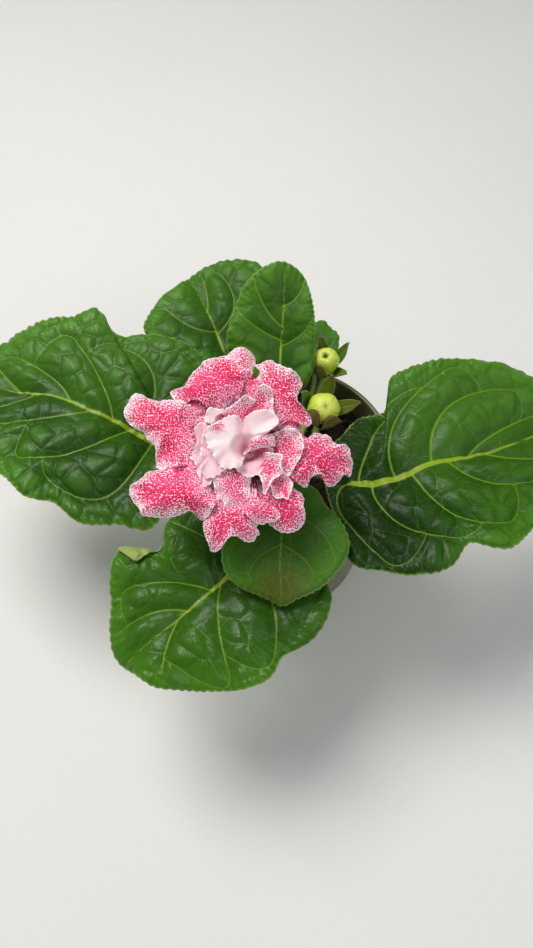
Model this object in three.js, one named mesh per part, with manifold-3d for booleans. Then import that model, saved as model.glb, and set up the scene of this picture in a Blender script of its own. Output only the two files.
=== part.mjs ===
// A potted gloxinia: a double, ruffled pink bloom and two buds over broad quilted leaves, rooted in
// a plain round plastic pot. Millimetres, +Z up, origin at the centre of the pot's underside.
import * as THREE from 'three';
import { mergeVertices } from 'three/addons/utils/BufferGeometryUtils.js';
import Module from 'manifold-3d';

const wasm = await Module();
wasm.setup();

// ---- driving dimensions -------------------------------------------------------------------------
const GAP = 0.35; // clearance between neighbouring pieces
const POT_HEIGHT = 105;
const RIM_RADIUS = 60;
const BASE_RADIUS = 51;
const WALL = 1.4;
const RIM_BAND_HEIGHT = 11;
const RIM_STEP = 1.1; // how far the rim band stands out from the wall
const FLOOR_RAISE = 2.6; // the drained ring of the floor is lifted off the table
const FLOOR_THICKNESS = 2;
const FOOT_INNER_RADIUS = 44;
const CENTRE_DISC_RADIUS = 24;
const DRAIN_HOLES = 6;
const DRAIN_RADIUS = 4;
const DRAIN_CIRCLE = 34;
const SOIL_LEVEL = 87;
const CROWN_TOP = 98;
const BLADE = 0.9; // thickness of a leaf blade
const PETAL = 0.9; // thickness of a petal

const GREEN = 0x3c6b1c;
const LIGHT_GREEN = 0x7d9a35;
const BUD_GREEN = 0xb4cb3a;
const CRIMSON = 0xd8486f;
const BLUSH = 0xecc9cf;
const OLIVE = 0x55592f;
const PEAT = 0x14100b;
const TUBER_BROWN = 0x5a4630;

// ---- small tools --------------------------------------------------------------------------------
const vec = (x, y, z) => new THREE.Vector3(x, y, z);
const radians = THREE.MathUtils.degToRad;

function smooth(x, from, to) {
  const t = Math.min(1, Math.max(0, (x - from) / (to - from)));
  return t * t * (3 - 2 * t);
}

// A repeatable stream of numbers from 0 to 1.
function seeded(seed) {
  let state = seed;
  return () => {
    state = (state * 16807) % 2147483647;
    return state / 2147483647;
  };
}

// Value of a smooth closed curve through equally spaced radii, at an angle.
function ringValue(radii, angle) {
  const n = radii.length;
  const turn = 2 * Math.PI;
  const x = ((((angle % turn) + turn) % turn) / turn) * n;
  const i = Math.floor(x);
  const t = x - i;
  const [a, b, c, d] = [-1, 0, 1, 2].map((k) => radii[(i + k + n) % n]);
  return b + 0.5 * t * (c - a + t * (2 * a - 5 * b + 4 * c - d + t * (3 * (b - c) + d - a)));
}

function solidOf(geometry) {
  const bare = new THREE.BufferGeometry();
  bare.setAttribute('position', geometry.getAttribute('position'));
  bare.setIndex(geometry.getIndex());
  const merged = mergeVertices(bare, 1e-4);
  return new wasm.Manifold(
    new wasm.Mesh({
      numProp: 3,
      vertProperties: merged.attributes.position.array,
      triVerts: new Uint32Array(merged.index.array),
    }),
  );
}

function solidFrom(points, faces) {
  const geometry = new THREE.BufferGeometry().setFromPoints(points);
  geometry.setIndex(faces);
  return solidOf(geometry);
}

function joined(solids) {
  return solids.reduce((whole, next) => whole.add(next));
}

// The largest body of a solid, without the scraps that a cut leaves.
function largest(solid) {
  return solid.decompose().sort((a, b) => b.volume() - a.volume())[0];
}

function meshOf(name, solid, color, roughness = 0.55) {
  const made = solid.getMesh();
  const geometry = new THREE.BufferGeometry();
  geometry.setAttribute('position', new THREE.BufferAttribute(made.vertProperties, 3));
  geometry.setIndex(new THREE.BufferAttribute(made.triVerts, 1));
  geometry.computeVertexNormals();
  const material = new THREE.MeshStandardMaterial({ color, roughness, metalness: 0 });
  const mesh = new THREE.Mesh(geometry, material);
  mesh.name = name;
  return mesh;
}

// Surface normal of a two-parameter surface, by small steps.
function normalAt(surface, a, b, step = 0.02) {
  const alongA = surface(a + step, b).sub(surface(a - step, b));
  const alongB = surface(a, b + step).sub(surface(a, b - step));
  return alongA.cross(alongB).normalize();
}

// Joins two faces of points, one on each side of a surface, into a closed thin body.
// `faces` is one side's triangulation and `border` its outline, in order.
function thinBody(points, normals, thickness, faces, border) {
  const count = points.length;
  const half = thickness / 2;
  const top = points.map((p, i) => p.clone().addScaledVector(normals[i], half));
  const bottom = points.map((p, i) => p.clone().addScaledVector(normals[i], -half));
  const index = [...faces];
  for (let i = 0; i < faces.length; i += 3) {
    index.push(faces[i] + count, faces[i + 2] + count, faces[i + 1] + count);
  }
  border.forEach((a, i) => {
    const b = border[(i + 1) % border.length];
    index.push(a, a + count, b + count, a, b + count, b);
  });
  return solidFrom([...top, ...bottom], index);
}

// A thin sheet round a pole. `rings` lists [share of the outline's radius, number of points], each
// count the same as the one before it or a whole multiple; place(x, y) gives a point of the sheet.
function roundSheet(rings, place, outline, thickness) {
  const at = (share, angle) => {
    const r = share * outline(angle);
    return [r * Math.cos(angle), r * Math.sin(angle)];
  };
  const points = [place(0, 0)];
  const normals = [normalAt(place, 0, 0)];
  const starts = [];
  for (const [share, count] of rings) {
    starts.push(points.length);
    for (let i = 0; i < count; i += 1) {
      const [x, y] = at(share, (2 * Math.PI * i) / count);
      points.push(place(x, y));
      normals.push(normalAt(place, x, y));
    }
  }
  const faces = [];
  rings.forEach(([, count], ring) => {
    for (let i = 0; i < count; i += 1) {
      const outer = starts[ring] + i;
      const outerNext = starts[ring] + ((i + 1) % count);
      if (ring === 0) {
        faces.push(0, outer, outerNext);
        continue;
      }
      const innerCount = rings[ring - 1][1];
      const ratio = count / innerCount;
      const inner = starts[ring - 1] + Math.floor(i / ratio);
      const innerNext = starts[ring - 1] + ((Math.floor(i / ratio) + 1) % innerCount);
      faces.push(inner, outer, outerNext);
      if (i % ratio === ratio - 1) faces.push(inner, outerNext, innerNext);
    }
  });
  const last = rings.length - 1;
  const border = Array.from({ length: rings[last][1] }, (_, i) => starts[last] + i);
  return thinBody(points, normals, thickness, faces, border);
}

// A thin sheet on a grid of `across` by `along` cells; place(s, t) gives a point for -1..1, 0..1.
function gridSheet(across, along, place, thickness) {
  const points = [];
  const normals = [];
  const id = (i, j) => j * (across + 1) + i;
  for (let j = 0; j <= along; j += 1) {
    for (let i = 0; i <= across; i += 1) {
      const s = -1 + (2 * i) / across;
      const t = j / along;
      points.push(place(s, t));
      normals.push(normalAt(place, s, t));
    }
  }
  const faces = [];
  for (let j = 0; j < along; j += 1) {
    for (let i = 0; i < across; i += 1) {
      faces.push(id(i, j), id(i + 1, j), id(i + 1, j + 1));
      faces.push(id(i, j), id(i + 1, j + 1), id(i, j + 1));
    }
  }
  const border = [];
  for (let i = 0; i < across; i += 1) border.push(id(i, 0));
  for (let j = 0; j < along; j += 1) border.push(id(across, j));
  for (let i = across; i > 0; i -= 1) border.push(id(i, along));
  for (let j = along; j > 0; j -= 1) border.push(id(0, j));
  return thinBody(points, normals, thickness, faces, border);
}

// A tapering round stem along a smooth curve through the points.
function stem(points, startRadius, endRadius, steps, sides = 7) {
  const curve = new THREE.CatmullRomCurve3(points, false, 'centripetal');
  const frames = curve.computeFrenetFrames(steps, false);
  const rim = [];
  for (let j = 0; j <= steps; j += 1) {
    const t = j / steps;
    const centre = curve.getPointAt(t);
    const radius = startRadius + (endRadius - startRadius) * t;
    for (let i = 0; i < sides; i += 1) {
      const a = (2 * Math.PI * i) / sides;
      rim.push(
        centre
          .clone()
          .addScaledVector(frames.normals[j], radius * Math.cos(a))
          .addScaledVector(frames.binormals[j], radius * Math.sin(a)),
      );
    }
  }
  const index = [];
  for (let j = 0; j < steps; j += 1) {
    for (let i = 0; i < sides; i += 1) {
      const a = j * sides + i;
      const b = j * sides + ((i + 1) % sides);
      index.push(a, b, b + sides, a, b + sides, a + sides);
    }
  }
  const first = rim.length;
  rim.push(points[0].clone(), points[points.length - 1].clone());
  for (let i = 0; i < sides; i += 1) {
    const next = (i + 1) % sides;
    index.push(first, next, i);
    index.push(first + 1, steps * sides + i, steps * sides + next);
  }
  return solidFrom(rim, index);
}

function turned(profile, segments) {
  const geometry = new THREE.LatheGeometry(
    profile.map(([r, z]) => new THREE.Vector2(r, z)),
    segments,
  );
  geometry.rotateX(Math.PI / 2);
  return solidOf(geometry);
}

function cylinder(radius, from, to, x = 0, y = 0, sides = 20) {
  const geometry = new THREE.CylinderGeometry(radius, radius, to - from, sides);
  geometry.rotateX(Math.PI / 2);
  geometry.translate(x, y, (from + to) / 2);
  return solidOf(geometry);
}

// ---- pot ----------------------------------------------------------------------------------------
const POT_SEGMENTS = 40;
const wallRadius = (z) =>
  BASE_RADIUS + ((RIM_RADIUS - RIM_STEP - BASE_RADIUS) * z) / (POT_HEIGHT - RIM_BAND_HEIGHT);

function pot() {
  const bandBottom = POT_HEIGHT - RIM_BAND_HEIGHT;
  const innerTop = RIM_RADIUS - RIM_STEP - WALL;
  const floorTop = FLOOR_RAISE + FLOOR_THICKNESS;
  const shell = turned(
    [
      [0, 0],
      [CENTRE_DISC_RADIUS, 0],
      [CENTRE_DISC_RADIUS + 1, FLOOR_RAISE],
      [FOOT_INNER_RADIUS, FLOOR_RAISE],
      [FOOT_INNER_RADIUS + 1, 0],
      [BASE_RADIUS - 1, 0],
      [BASE_RADIUS, 1],
      [wallRadius(bandBottom), bandBottom],
      [RIM_RADIUS - 0.4, bandBottom + 0.8],
      [RIM_RADIUS, POT_HEIGHT - 1.2],
      [RIM_RADIUS - 0.8, POT_HEIGHT],
      [innerTop + 0.5, POT_HEIGHT],
      [innerTop, POT_HEIGHT - 0.8],
      [wallRadius(bandBottom) - WALL, bandBottom],
      [wallRadius(floorTop) - WALL, floorTop],
      [0, floorTop],
    ],
    POT_SEGMENTS,
  );
  const holes = Array.from({ length: DRAIN_HOLES }, (_, i) => {
    const a = (2 * Math.PI * (i + 0.5)) / DRAIN_HOLES;
    const x = DRAIN_CIRCLE * Math.cos(a);
    const y = DRAIN_CIRCLE * Math.sin(a);
    return cylinder(DRAIN_RADIUS, -1, floorTop + 1, x, y, 12);
  });
  return shell.subtract(joined(holes));
}

// ---- tuber and crown ----------------------------------------------------------------------------
// A flattened tuber in the soil, with the short crown on it that every stem grows from.
const TUBER_SEGMENTS = 16;
function tuberAndCrown(grow) {
  return turned(
    [
      [0, 58 - grow],
      [11 + grow, 60 - grow],
      [18 + grow, 66],
      [20 + grow, 73],
      [18 + grow, 80],
      [14 + grow, 84],
      [13 + grow, 90],
      [10.5 + grow, 95],
      [6 + grow, CROWN_TOP - 0.8],
      [0, CROWN_TOP + grow],
    ],
    TUBER_SEGMENTS,
  );
}

// ---- soil ---------------------------------------------------------------------------------------
const soilHeight = (x, y) =>
  SOIL_LEVEL +
  1.1 * Math.sin(0.21 * x + 0.6) * Math.cos(0.18 * y) +
  0.7 * Math.sin(0.47 * x - 0.33 * y + 1.3) +
  0.5 * Math.cos(0.61 * y + 0.4 * x);

const CRUMBS = 11;
const CRUMBS_FROM = 17; // radii between which the coarse crumbs lie
const CRUMBS_TO = 53;

function soil() {
  const bottom = FLOOR_RAISE + FLOOR_THICKNESS + GAP;
  const radiusAt = (z) => wallRadius(z) - WALL - GAP - 0.1;
  const rings = [1, 0.8, 0.58, 0.34];
  const profile = [
    [0, bottom],
    [radiusAt(bottom), bottom],
    ...rings.map((share) => [share * radiusAt(SOIL_LEVEL - 2), SOIL_LEVEL]),
    [0, SOIL_LEVEL],
  ];
  const geometry = new THREE.LatheGeometry(
    profile.map(([r, z]) => new THREE.Vector2(r, z)),
    POT_SEGMENTS,
  );
  geometry.rotateX(Math.PI / 2);
  const at = geometry.getAttribute('position');
  for (let i = 0; i < at.count; i += 1) {
    if (at.getZ(i) > SOIL_LEVEL - 1) at.setZ(i, soilHeight(at.getX(i), at.getY(i)));
  }
  const random = seeded(71);
  const crumbs = Array.from({ length: CRUMBS }, () => {
    const a = 2 * Math.PI * random();
    const r = CRUMBS_FROM + (CRUMBS_TO - CRUMBS_FROM) * random();
    const size = 1.6 + 2 * random();
    const x = r * Math.cos(a);
    const y = r * Math.sin(a);
    const crumb = new THREE.IcosahedronGeometry(size, 0);
    crumb.rotateX(3 * random());
    crumb.rotateY(3 * random());
    crumb.translate(x, y, soilHeight(x, y) + 0.25 * size);
    return solidOf(crumb);
  });
  return joined([solidOf(geometry), ...crumbs]);
}

// ---- leaves -------------------------------------------------------------------------------------
// Each leaf's own frame: u runs along the midrib to the tip, v to its left, h off the blade.
//   at       where the blade's middle is       facing, pitch, roll   how it is turned, in degrees
//   rim      radii of the blade's outline every 15 degrees from the tip round by its left
//   valley   how deep the midrib lies          arch, droop           how the ends and margin fall
//   waves    margin waves [height, count, phase]
//   veins    side veins [start u, middle u, middle v, end u, end v]
//   crease   a line across one side past which the blade steps down towards its base
//   flap     a corner folded back over the blade, from its two ends and its tip
//   petiole  points from the crown to the blade, and `foot` is the u where the blade starts
const LEAF_RINGS = [[0.34, 30], [0.64, 30], [0.87, 60], [1, 60]];
const SMALL_RINGS = [[0.38, 30], [0.74, 30], [1, 60]];
const LEAVES = {
  leaf_left: {
    at: [-109, 12, 128],
    facing: 159,
    pitch: 4,
    roll: -8,
    rim: [
      80, 76, 67, 59, 52, 50, 53, 52, 63, 66, 69, 58,
      55, 57, 64, 73, 68, 61, 52, 59, 57, 60, 64, 70,
    ],
    valley: 6,
    arch: 5,
    droop: 5,
    waves: [[2.5, 5, 0.6], [1.2, 9, 2.0]],
    veins: [
      [-19, -6, -17, 18, -36],
      [6, 19, -10, 44, -19],
      [-6, 4, 9, 28, 20],
      [-29, -12, 22, 10, 35],
      [-42, -36, 36, -10, 42],
      [-34, -32, -30, -14, -44],
    ],
    crease: { from: [12, -55], to: [-32, -20], fall: 4, run: 7, start: 6, full: 30 },
    petiole: [[-9, 0, 89], [-20, -2, 103], [-42, -6, 119]],
    foot: -46,
    petioleRadius: 2.6,
  },
  leaf_right: {
    at: [72, -23, 130],
    facing: 20,
    pitch: 3,
    roll: 8,
    rim: [
      85, 86, 80, 68, 61, 55, 51, 43, 46, 47, 52, 52,
      53, 55, 65, 59, 56, 52, 43, 54, 56, 59, 65, 75,
    ],
    valley: 6,
    arch: 4,
    droop: 5,
    waves: [[2.5, 5, 2.2], [1.0, 9, 0.5]],
    veins: [
      [-18, -8, 27, 30, 46],
      [1, 20, 26, 58, 28],
      [-30, -29, -20, -8, -37],
      [-10, -2, -26, 18, -39],
      [9, 22, -16, 42, -23],
      [-42, -50, -16, -42, -36],
      [-36, -26, 24, -12, 36],
    ],
    crease: { from: [1, 53], to: [-21, 11], fall: 8, run: 9, start: 4, full: 26 },
    petiole: [[8, -6, 90], [14, -13, 106], [21, -23, 120]],
    foot: -42,
    petioleRadius: 2.6,
  },
  leaf_back_left: {
    at: [-46, 78, 122],
    facing: 112,
    pitch: 14,
    roll: -4,
    rim: [
      32, 29, 30, 30, 32, 34, 33, 32, 31, 31, 32, 31,
      32, 33, 35, 36, 38, 40, 44, 48, 49, 44, 41, 37,
    ],
    valley: 5,
    arch: 4,
    droop: 4,
    waves: [[1.5, 5, 0.0], [0.8, 8, 1.0]],
    rings: SMALL_RINGS,
    veins: [
      [-9, 4, -18, 26, -18],
      [-7, -1, 12, 16, 20],
      [6, 14, -4, 30, -8],
    ],
    petiole: [[-6, 7, 89], [-14, 20, 102], [-28, 41, 111]],
    foot: -24,
    petioleRadius: 2.2,
  },
  leaf_top: {
    at: [-2, 58, 148],
    facing: 90,
    pitch: 44,
    roll: -6,
    rim: [
      29, 28, 27, 26, 25, 25, 26, 29, 33, 34, 36, 38,
      43, 41, 34, 26, 21, 19, 18, 18, 19, 21, 24, 27,
    ],
    valley: 4,
    arch: 3,
    droop: 3,
    waves: [[1.2, 4, 0.5], [0.7, 7, 2.0]],
    veins: [
      [-15, -7, -12, 6, -18],
      [-5, 6, 10, 22, 16],
      [-12, -6, 12, 2, 22],
      [6, 12, -8, 24, -12],
    ],
    petiole: [[-1, 6, 93], [-2, 15, 106], [-2, 24, 117]],
    foot: -36,
    petioleRadius: 2.0,
    rings: SMALL_RINGS,
  },
  leaf_front: {
    at: [-2, -68, 135],
    facing: 270,
    pitch: -12,
    roll: 0,
    rim: [
      27, 25, 25, 26, 27, 29, 31, 30, 29, 29, 33, 34,
      35, 33, 32, 31, 29, 28, 28, 29, 29, 27, 25, 25,
    ],
    valley: 1,
    arch: 14,
    droop: 4,
    waves: [[1.0, 4, 0.3], [0.6, 7, 1.0]],
    veins: [
      [-14, -10, 14, 4, 24],
      [-14, -10, -14, 4, -24],
      [0, 8, 12, 16, 14],
      [0, 8, -12, 16, -14],
    ],
    petiole: [[1, -6, 92], [1, -14, 110], [0, -27, 126]],
    foot: -32,
    petioleRadius: 2.0,
    rings: SMALL_RINGS,
  },
  leaf_front_left: {
    at: [-37, -90, 114],
    facing: 222,
    pitch: -4,
    roll: -4,
    rim: [
      45, 43, 39, 38, 39, 42, 44, 42, 51, 57, 58, 45,
      40, 39, 42, 48, 52, 48, 37, 51, 50, 47, 48, 49,
    ],
    valley: 5,
    arch: 5,
    droop: 8,
    waves: [[1.8, 5, 1.0], [1.0, 9, 0.0]],
    veins: [
      [-12, 2, 14, 12, 30],
      [-24, -24, 20, -8, 38],
      [14, 24, 6, 34, 14],
      [-6, 4, -16, 20, -30],
      [8, 22, -12, 40, -16],
      [-26, -22, -22, -14, -44],
    ],
    flap: { from: [16, -56], to: [-3, -38], tip: [12, -38], lift: 4 },
    petiole: [[-4, -8, 88], [-7, -22, 103], [-12, -48, 114]],
    foot: -30,
    petioleRadius: 2.4,
  },
  leaf_small_back: {
    at: [20, 66, 116],
    facing: 78,
    pitch: 18,
    roll: 0,
    rim: [
      17, 15, 14, 14, 13, 12, 12, 12, 13, 14, 15, 15,
      15, 15, 15, 14, 13, 12, 12, 12, 13, 14, 14, 15,
    ],
    valley: 2,
    arch: 4,
    droop: 2,
    waves: [[0.8, 4, 0.5], [0.4, 7, 1.0]],
    veins: [
      [-6, -2, 6, 5, 9],
      [-6, -2, -6, 5, -9],
    ],
    petiole: [[5, 8, 89], [10, 20, 104], [17, 40, 113]],
    foot: -12,
    petioleRadius: 1.5,
    rings: [[0.5, 20], [1, 40]],
  },
};
const TEETH = 30;
const TOOTH = 0.014; // half a tooth's depth, as a share of the radius
const VALLEY_WIDTH = 14; // how far from the midrib the blade has mostly risen from it
const VEIN_DEPTH = 1.6;
const VEIN_WIDTH = 4.5;
const RIB_DEPTH = 1.7; // how far the midrib's middle lies under the blade at its foot
const RIB_REACH = 0.72; // share of the way to the tip that the midrib stands out below
const RIB_END_RADIUS = 0.7;

function leafAxes(leaf) {
  const facing = radians(leaf.facing);
  const pitch = radians(leaf.pitch);
  const roll = radians(leaf.roll);
  const u = vec(
    Math.cos(facing) * Math.cos(pitch),
    Math.sin(facing) * Math.cos(pitch),
    Math.sin(pitch),
  );
  const level = vec(-Math.sin(facing), Math.cos(facing), 0);
  const lift = u.clone().cross(level);
  const v = level.multiplyScalar(Math.cos(roll)).addScaledVector(lift, Math.sin(roll));
  return { u, v, h: u.clone().cross(v) };
}

// A side vein as points on the bow that passes through its middle point.
function veinPoints([u0, um, vm, u1, v1]) {
  const cu = 2 * um - 0.5 * (u0 + u1);
  const cv = 2 * vm - 0.5 * v1;
  return Array.from({ length: 9 }, (_, i) => {
    const t = i / 8;
    const [a, b, c] = [(1 - t) ** 2, 2 * t * (1 - t), t * t];
    return [a * u0 + b * cu + c * u1, b * cv + c * v1];
  });
}

function distanceTo(line, u, v) {
  let best = Infinity;
  for (let i = 1; i < line.length; i += 1) {
    const [au, av] = line[i - 1];
    const du = line[i][0] - au;
    const dv = line[i][1] - av;
    const t = ((u - au) * du + (v - av) * dv) / (du * du + dv * dv);
    const near = Math.min(1, Math.max(0, t));
    best = Math.min(best, Math.hypot(u - au - near * du, v - av - near * dv));
  }
  return best;
}

// How far the blade falls past its crease, which fades out towards the midrib.
function creaseFall(crease, u, v) {
  if (!crease) return 0;
  const [au, av] = crease.from;
  const du = crease.to[0] - au;
  const dv = crease.to[1] - av;
  const side = Math.sign(av);
  const past = (side * ((v - av) * du - (u - au) * dv)) / Math.hypot(du, dv);
  return crease.fall * smooth(-past, -1, crease.run) * smooth(side * v, crease.start, crease.full);
}

function bladeHeight(leaf, u, v) {
  const angle = Math.atan2(v, u);
  const share = Math.hypot(u, v) / ringValue(leaf.rim, angle);
  const forward = 0.35 + 0.325 * (1 + Math.cos(angle));
  let h = leaf.valley * (1 - Math.exp(-Math.abs(v) / VALLEY_WIDTH));
  h -= leaf.arch * (u / 50) ** 2;
  h -= leaf.droop * forward * share ** 3;
  for (const [height, count, phase] of leaf.waves) {
    h += height * share ** 3 * Math.sin(count * angle + phase);
  }
  for (const line of leaf.veinLines) {
    const fold = Math.exp(-((distanceTo(line, u, v) / VEIN_WIDTH) ** 2));
    h -= VEIN_DEPTH * fold * smooth(share, 0, 0.3);
  }
  return h - creaseFall(leaf.crease, u, v);
}

// The corner of a blade that is folded back over it, standing a little off its face.
function flapSolid({ from, to, tip, lift }, place, up) {
  const onLine = (s, t) => {
    const along = 0.5 * (1 + s * (1 - 0.92 * t));
    const edge = [0, 1].map((k) => from[k] + (to[k] - from[k]) * along);
    const middle = [0, 1].map((k) => 0.5 * (from[k] + to[k]));
    return [0, 1].map((k) => edge[k] + (tip[k] - middle[k]) * t);
  };
  const surface = (s, t) => {
    const [u, v] = onLine(s, t);
    return place(u, v).addScaledVector(up, 0.3 + lift * Math.sqrt(Math.max(0, t)));
  };
  return gridSheet(4, 3, surface, BLADE);
}

function leafSolid(leaf) {
  leaf.veinLines = leaf.veins.map(veinPoints);
  const axes = leafAxes(leaf);
  const centre = vec(...leaf.at);
  const place = (u, v) =>
    centre
      .clone()
      .addScaledVector(axes.u, u)
      .addScaledVector(axes.v, v)
      .addScaledVector(axes.h, bladeHeight(leaf, u, v));
  const outline = (angle) => ringValue(leaf.rim, angle) * (1 + TOOTH * Math.cos(TEETH * angle));
  const blade = roundSheet(leaf.rings ?? LEAF_RINGS, place, outline, BLADE);
  // The petiole runs on under the blade as its midrib.
  const tip = RIB_REACH * leaf.rim[0];
  const ribs = [0, 0.25, 0.5, 0.75, 1].map((t) => {
    const u = leaf.foot + (tip - leaf.foot) * t;
    return place(u, 0).addScaledVector(axes.h, (1 - t) * -RIB_DEPTH - t * RIB_END_RADIUS);
  });
  const path = leaf.petiole.map((p) => vec(...p)).concat(ribs);
  const petiole = stem(path, leaf.petioleRadius, RIB_END_RADIUS, 11, 6);
  const parts = [blade, petiole];
  if (leaf.flap) parts.push(flapSolid(leaf.flap, place, axes.h));
  return { solid: joined(parts), petiole: leaf.petiole, radius: leaf.petioleRadius };
}

// ---- flower -------------------------------------------------------------------------------------
const FLOWER_AT = vec(-20, -36, 166); // the middle of the throat
const FLOWER_LIFT = radians(66); // how steeply the bloom looks up, towards -Y
const TUBE_LENGTH = 34;
const THROAT_RADIUS = 15;
// Reach of the outer frill every 10 degrees, from +X round by the back.
const FRILL = [
  45, 33, 32, 34, 36, 40, 41, 43, 38, 45, 41, 42, 42, 41, 39, 44, 54, 45,
  38, 40, 52, 53, 48, 37, 36, 44, 40, 39, 36, 39, 43, 39, 33, 33, 41, 48,
];
const FRILL_SCALE = 1.03;
const FRILL_RINGS = [
  [0.05, 20], [0.14, 20], [0.26, 20], [0.4, 40], [0.56, 40], [0.72, 40], [0.87, 80], [1, 80],
];
const FRILL_TEETH = 40;
const FRILL_TOOTH = 0.012; // half a tooth's depth, as a share of the reach
const flowerAxes = {
  p: vec(1, 0, 0),
  q: vec(0, Math.sin(FLOWER_LIFT), Math.cos(FLOWER_LIFT)),
  n: vec(0, -Math.cos(FLOWER_LIFT), Math.sin(FLOWER_LIFT)),
};
const inFlower = (p, q, n) =>
  FLOWER_AT.clone()
    .addScaledVector(flowerAxes.p, p)
    .addScaledVector(flowerAxes.q, q)
    .addScaledVector(flowerAxes.n, n);

// The outer corolla: a bell-shaped tube that opens into a wide frill of seven ruffled lobes.
const TUBE_SHARE = 0.4; // share of the sheet that is the tube
const LIMB_RISE = 7; // how far the frill arches up from the throat
const LIMB_FALL = 6; // and falls again at its margin
const LOBE_WAVE = 3.2;
const RUFFLE_WAVE = 1.6;

// Distance from the flower's axis, and height along it, of a point of the outer corolla.
function corollaPoint(share, angle) {
  const teeth = 1 + FRILL_TOOTH * Math.cos(FRILL_TEETH * angle);
  const reach = FRILL_SCALE * ringValue(FRILL, angle) * teeth;
  if (share < TUBE_SHARE) {
    const t = share / TUBE_SHARE;
    const bell = 0.42 * Math.sqrt(Math.min(1, 6 * t)) + 0.58 * t ** 1.6;
    const closing = Math.min(1, 4 * t + 0.01);
    return [THROAT_RADIUS * bell * closing, -TUBE_LENGTH * (1 - t ** 1.25)];
  }
  const t = (share - TUBE_SHARE) / (1 - TUBE_SHARE);
  const r = THROAT_RADIUS + (reach - THROAT_RADIUS) * t;
  const arch = LIMB_RISE * Math.sin(0.5 * Math.PI * Math.min(1, 1.6 * t)) - LIMB_FALL * t ** 3;
  const lobes = LOBE_WAVE * t ** 2 * Math.sin(7 * angle + 0.6);
  const ruffle = RUFFLE_WAVE * t ** 2 * Math.sin(16 * angle + 1.1 + 2 * t);
  return [r, arch + lobes + ruffle];
}

function outerCorolla(extra = 0) {
  const place = (x, y) => {
    const share = Math.hypot(x, y);
    const angle = Math.atan2(y, x);
    const [r, n] = corollaPoint(share, angle);
    return inFlower(r * Math.cos(angle), r * Math.sin(angle), n);
  };
  return roundSheet(FRILL_RINGS, place, () => 1, PETAL + 2 * extra);
}

// A ruffled inner petal. It starts `root` from the flower's axis at height `base`, leans out from
// `lean` to `tilt` degrees off the axis on its way, is `cup` higher at its sides than in its middle,
// and has `frills` radians of waves, `ruffle` high, across its tip. `shift` moves it sideways.
const PETAL_STEPS = 6; // steps in which its bend is added up
function petalSolid(petal, extra = 0) {
  const { base = -12, frills = 5, shift = [0, 0] } = petal;
  const turn = radians(petal.turn);
  const leanAt = (t) => radians(petal.lean + (petal.tilt - petal.lean) * t);
  const place = (s, t) => {
    const length = (petal.length + extra) * (1 - 0.22 * s * s);
    const step = (length * t) / PETAL_STEPS;
    let out = petal.root;
    let up = base;
    for (let i = 0; i < PETAL_STEPS; i += 1) {
      const lean = leanAt((t * (i + 0.5)) / PETAL_STEPS);
      out += Math.sin(lean) * step;
      up += Math.cos(lean) * step;
    }
    const widening = 0.3 + 0.7 * Math.sin(Math.min(1, 1.2 * t) * 0.5 * Math.PI);
    const side = (petal.width / 2 + extra) * widening * s;
    const wave = petal.ruffle * t * t * Math.sin(frills * s + petal.turn);
    const lift = petal.cup * s * s * t + wave;
    out -= Math.cos(leanAt(t)) * lift;
    up += Math.sin(leanAt(t)) * lift;
    const p = Math.cos(turn) * out - Math.sin(turn) * side;
    const q = Math.sin(turn) * out + Math.cos(turn) * side;
    return inFlower(p + shift[0], q + shift[1], up);
  };
  return gridSheet(6, 4, place, PETAL + 2 * extra);
}

const SPOTTED_PETALS = [
  { turn: 98, root: 5, length: 31, width: 24, lean: 8, tilt: 62, cup: 3, ruffle: 2.2 },
  { turn: 58, root: 5, length: 30, width: 20, lean: 8, tilt: 60, cup: 3, ruffle: 2 },
  { turn: 8, root: 6, length: 33, width: 22, lean: 10, tilt: 70, cup: 2, ruffle: 2.4 },
  { turn: -38, root: 6, length: 32, width: 18, lean: 10, tilt: 74, cup: 5, ruffle: 2 },
  { turn: -62, root: 6, length: 33, width: 14, lean: 10, tilt: 76, cup: 6, ruffle: 1.5, frills: 4 },
  { turn: -104, root: 4, length: 40, width: 24, lean: 6, tilt: 84, cup: -3, ruffle: 1.8 },
  {
    turn: 150, root: 12, base: 6, length: 17, width: 12,
    lean: 40, tilt: -70, cup: 2, ruffle: 1, frills: 4, shift: [18, -4],
  },
];
const PALE_PETALS = [
  {
    turn: 172, root: 2, base: -5, length: 25, width: 28,
    lean: 2, tilt: 72, cup: 3, ruffle: 2.2, frills: 7, shift: [2, 0],
  },
  {
    turn: 58, root: 1, base: -7, length: 26, width: 16,
    lean: 2, tilt: 78, cup: 3, ruffle: 0.8, frills: 3, shift: [2, 0],
  },
  {
    turn: 188, root: 4, base: -4, length: 22, width: 30,
    lean: 12, tilt: 86, cup: 2, ruffle: 2.4, frills: 8,
  },
  {
    turn: 228, root: 3, base: -3, length: 20, width: 22,
    lean: 8, tilt: 84, cup: 2, ruffle: 2.2, frills: 6,
  },
  {
    turn: -70, root: 2, base: -9, length: 23, width: 16,
    lean: 4, tilt: 60, cup: 4, ruffle: 1.2, frills: 4, shift: [5, 0],
  },
];
const PETAL_CLEARANCE = 0.4; // left between the pale petals and the spotted ones

// The hearts that the petals of each kind grow from, by their height on the flower's axis.
const HEART_RADIUS = 6;
const SPOTTED_HEART = -17;
const PALE_HEART = -8;

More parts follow.
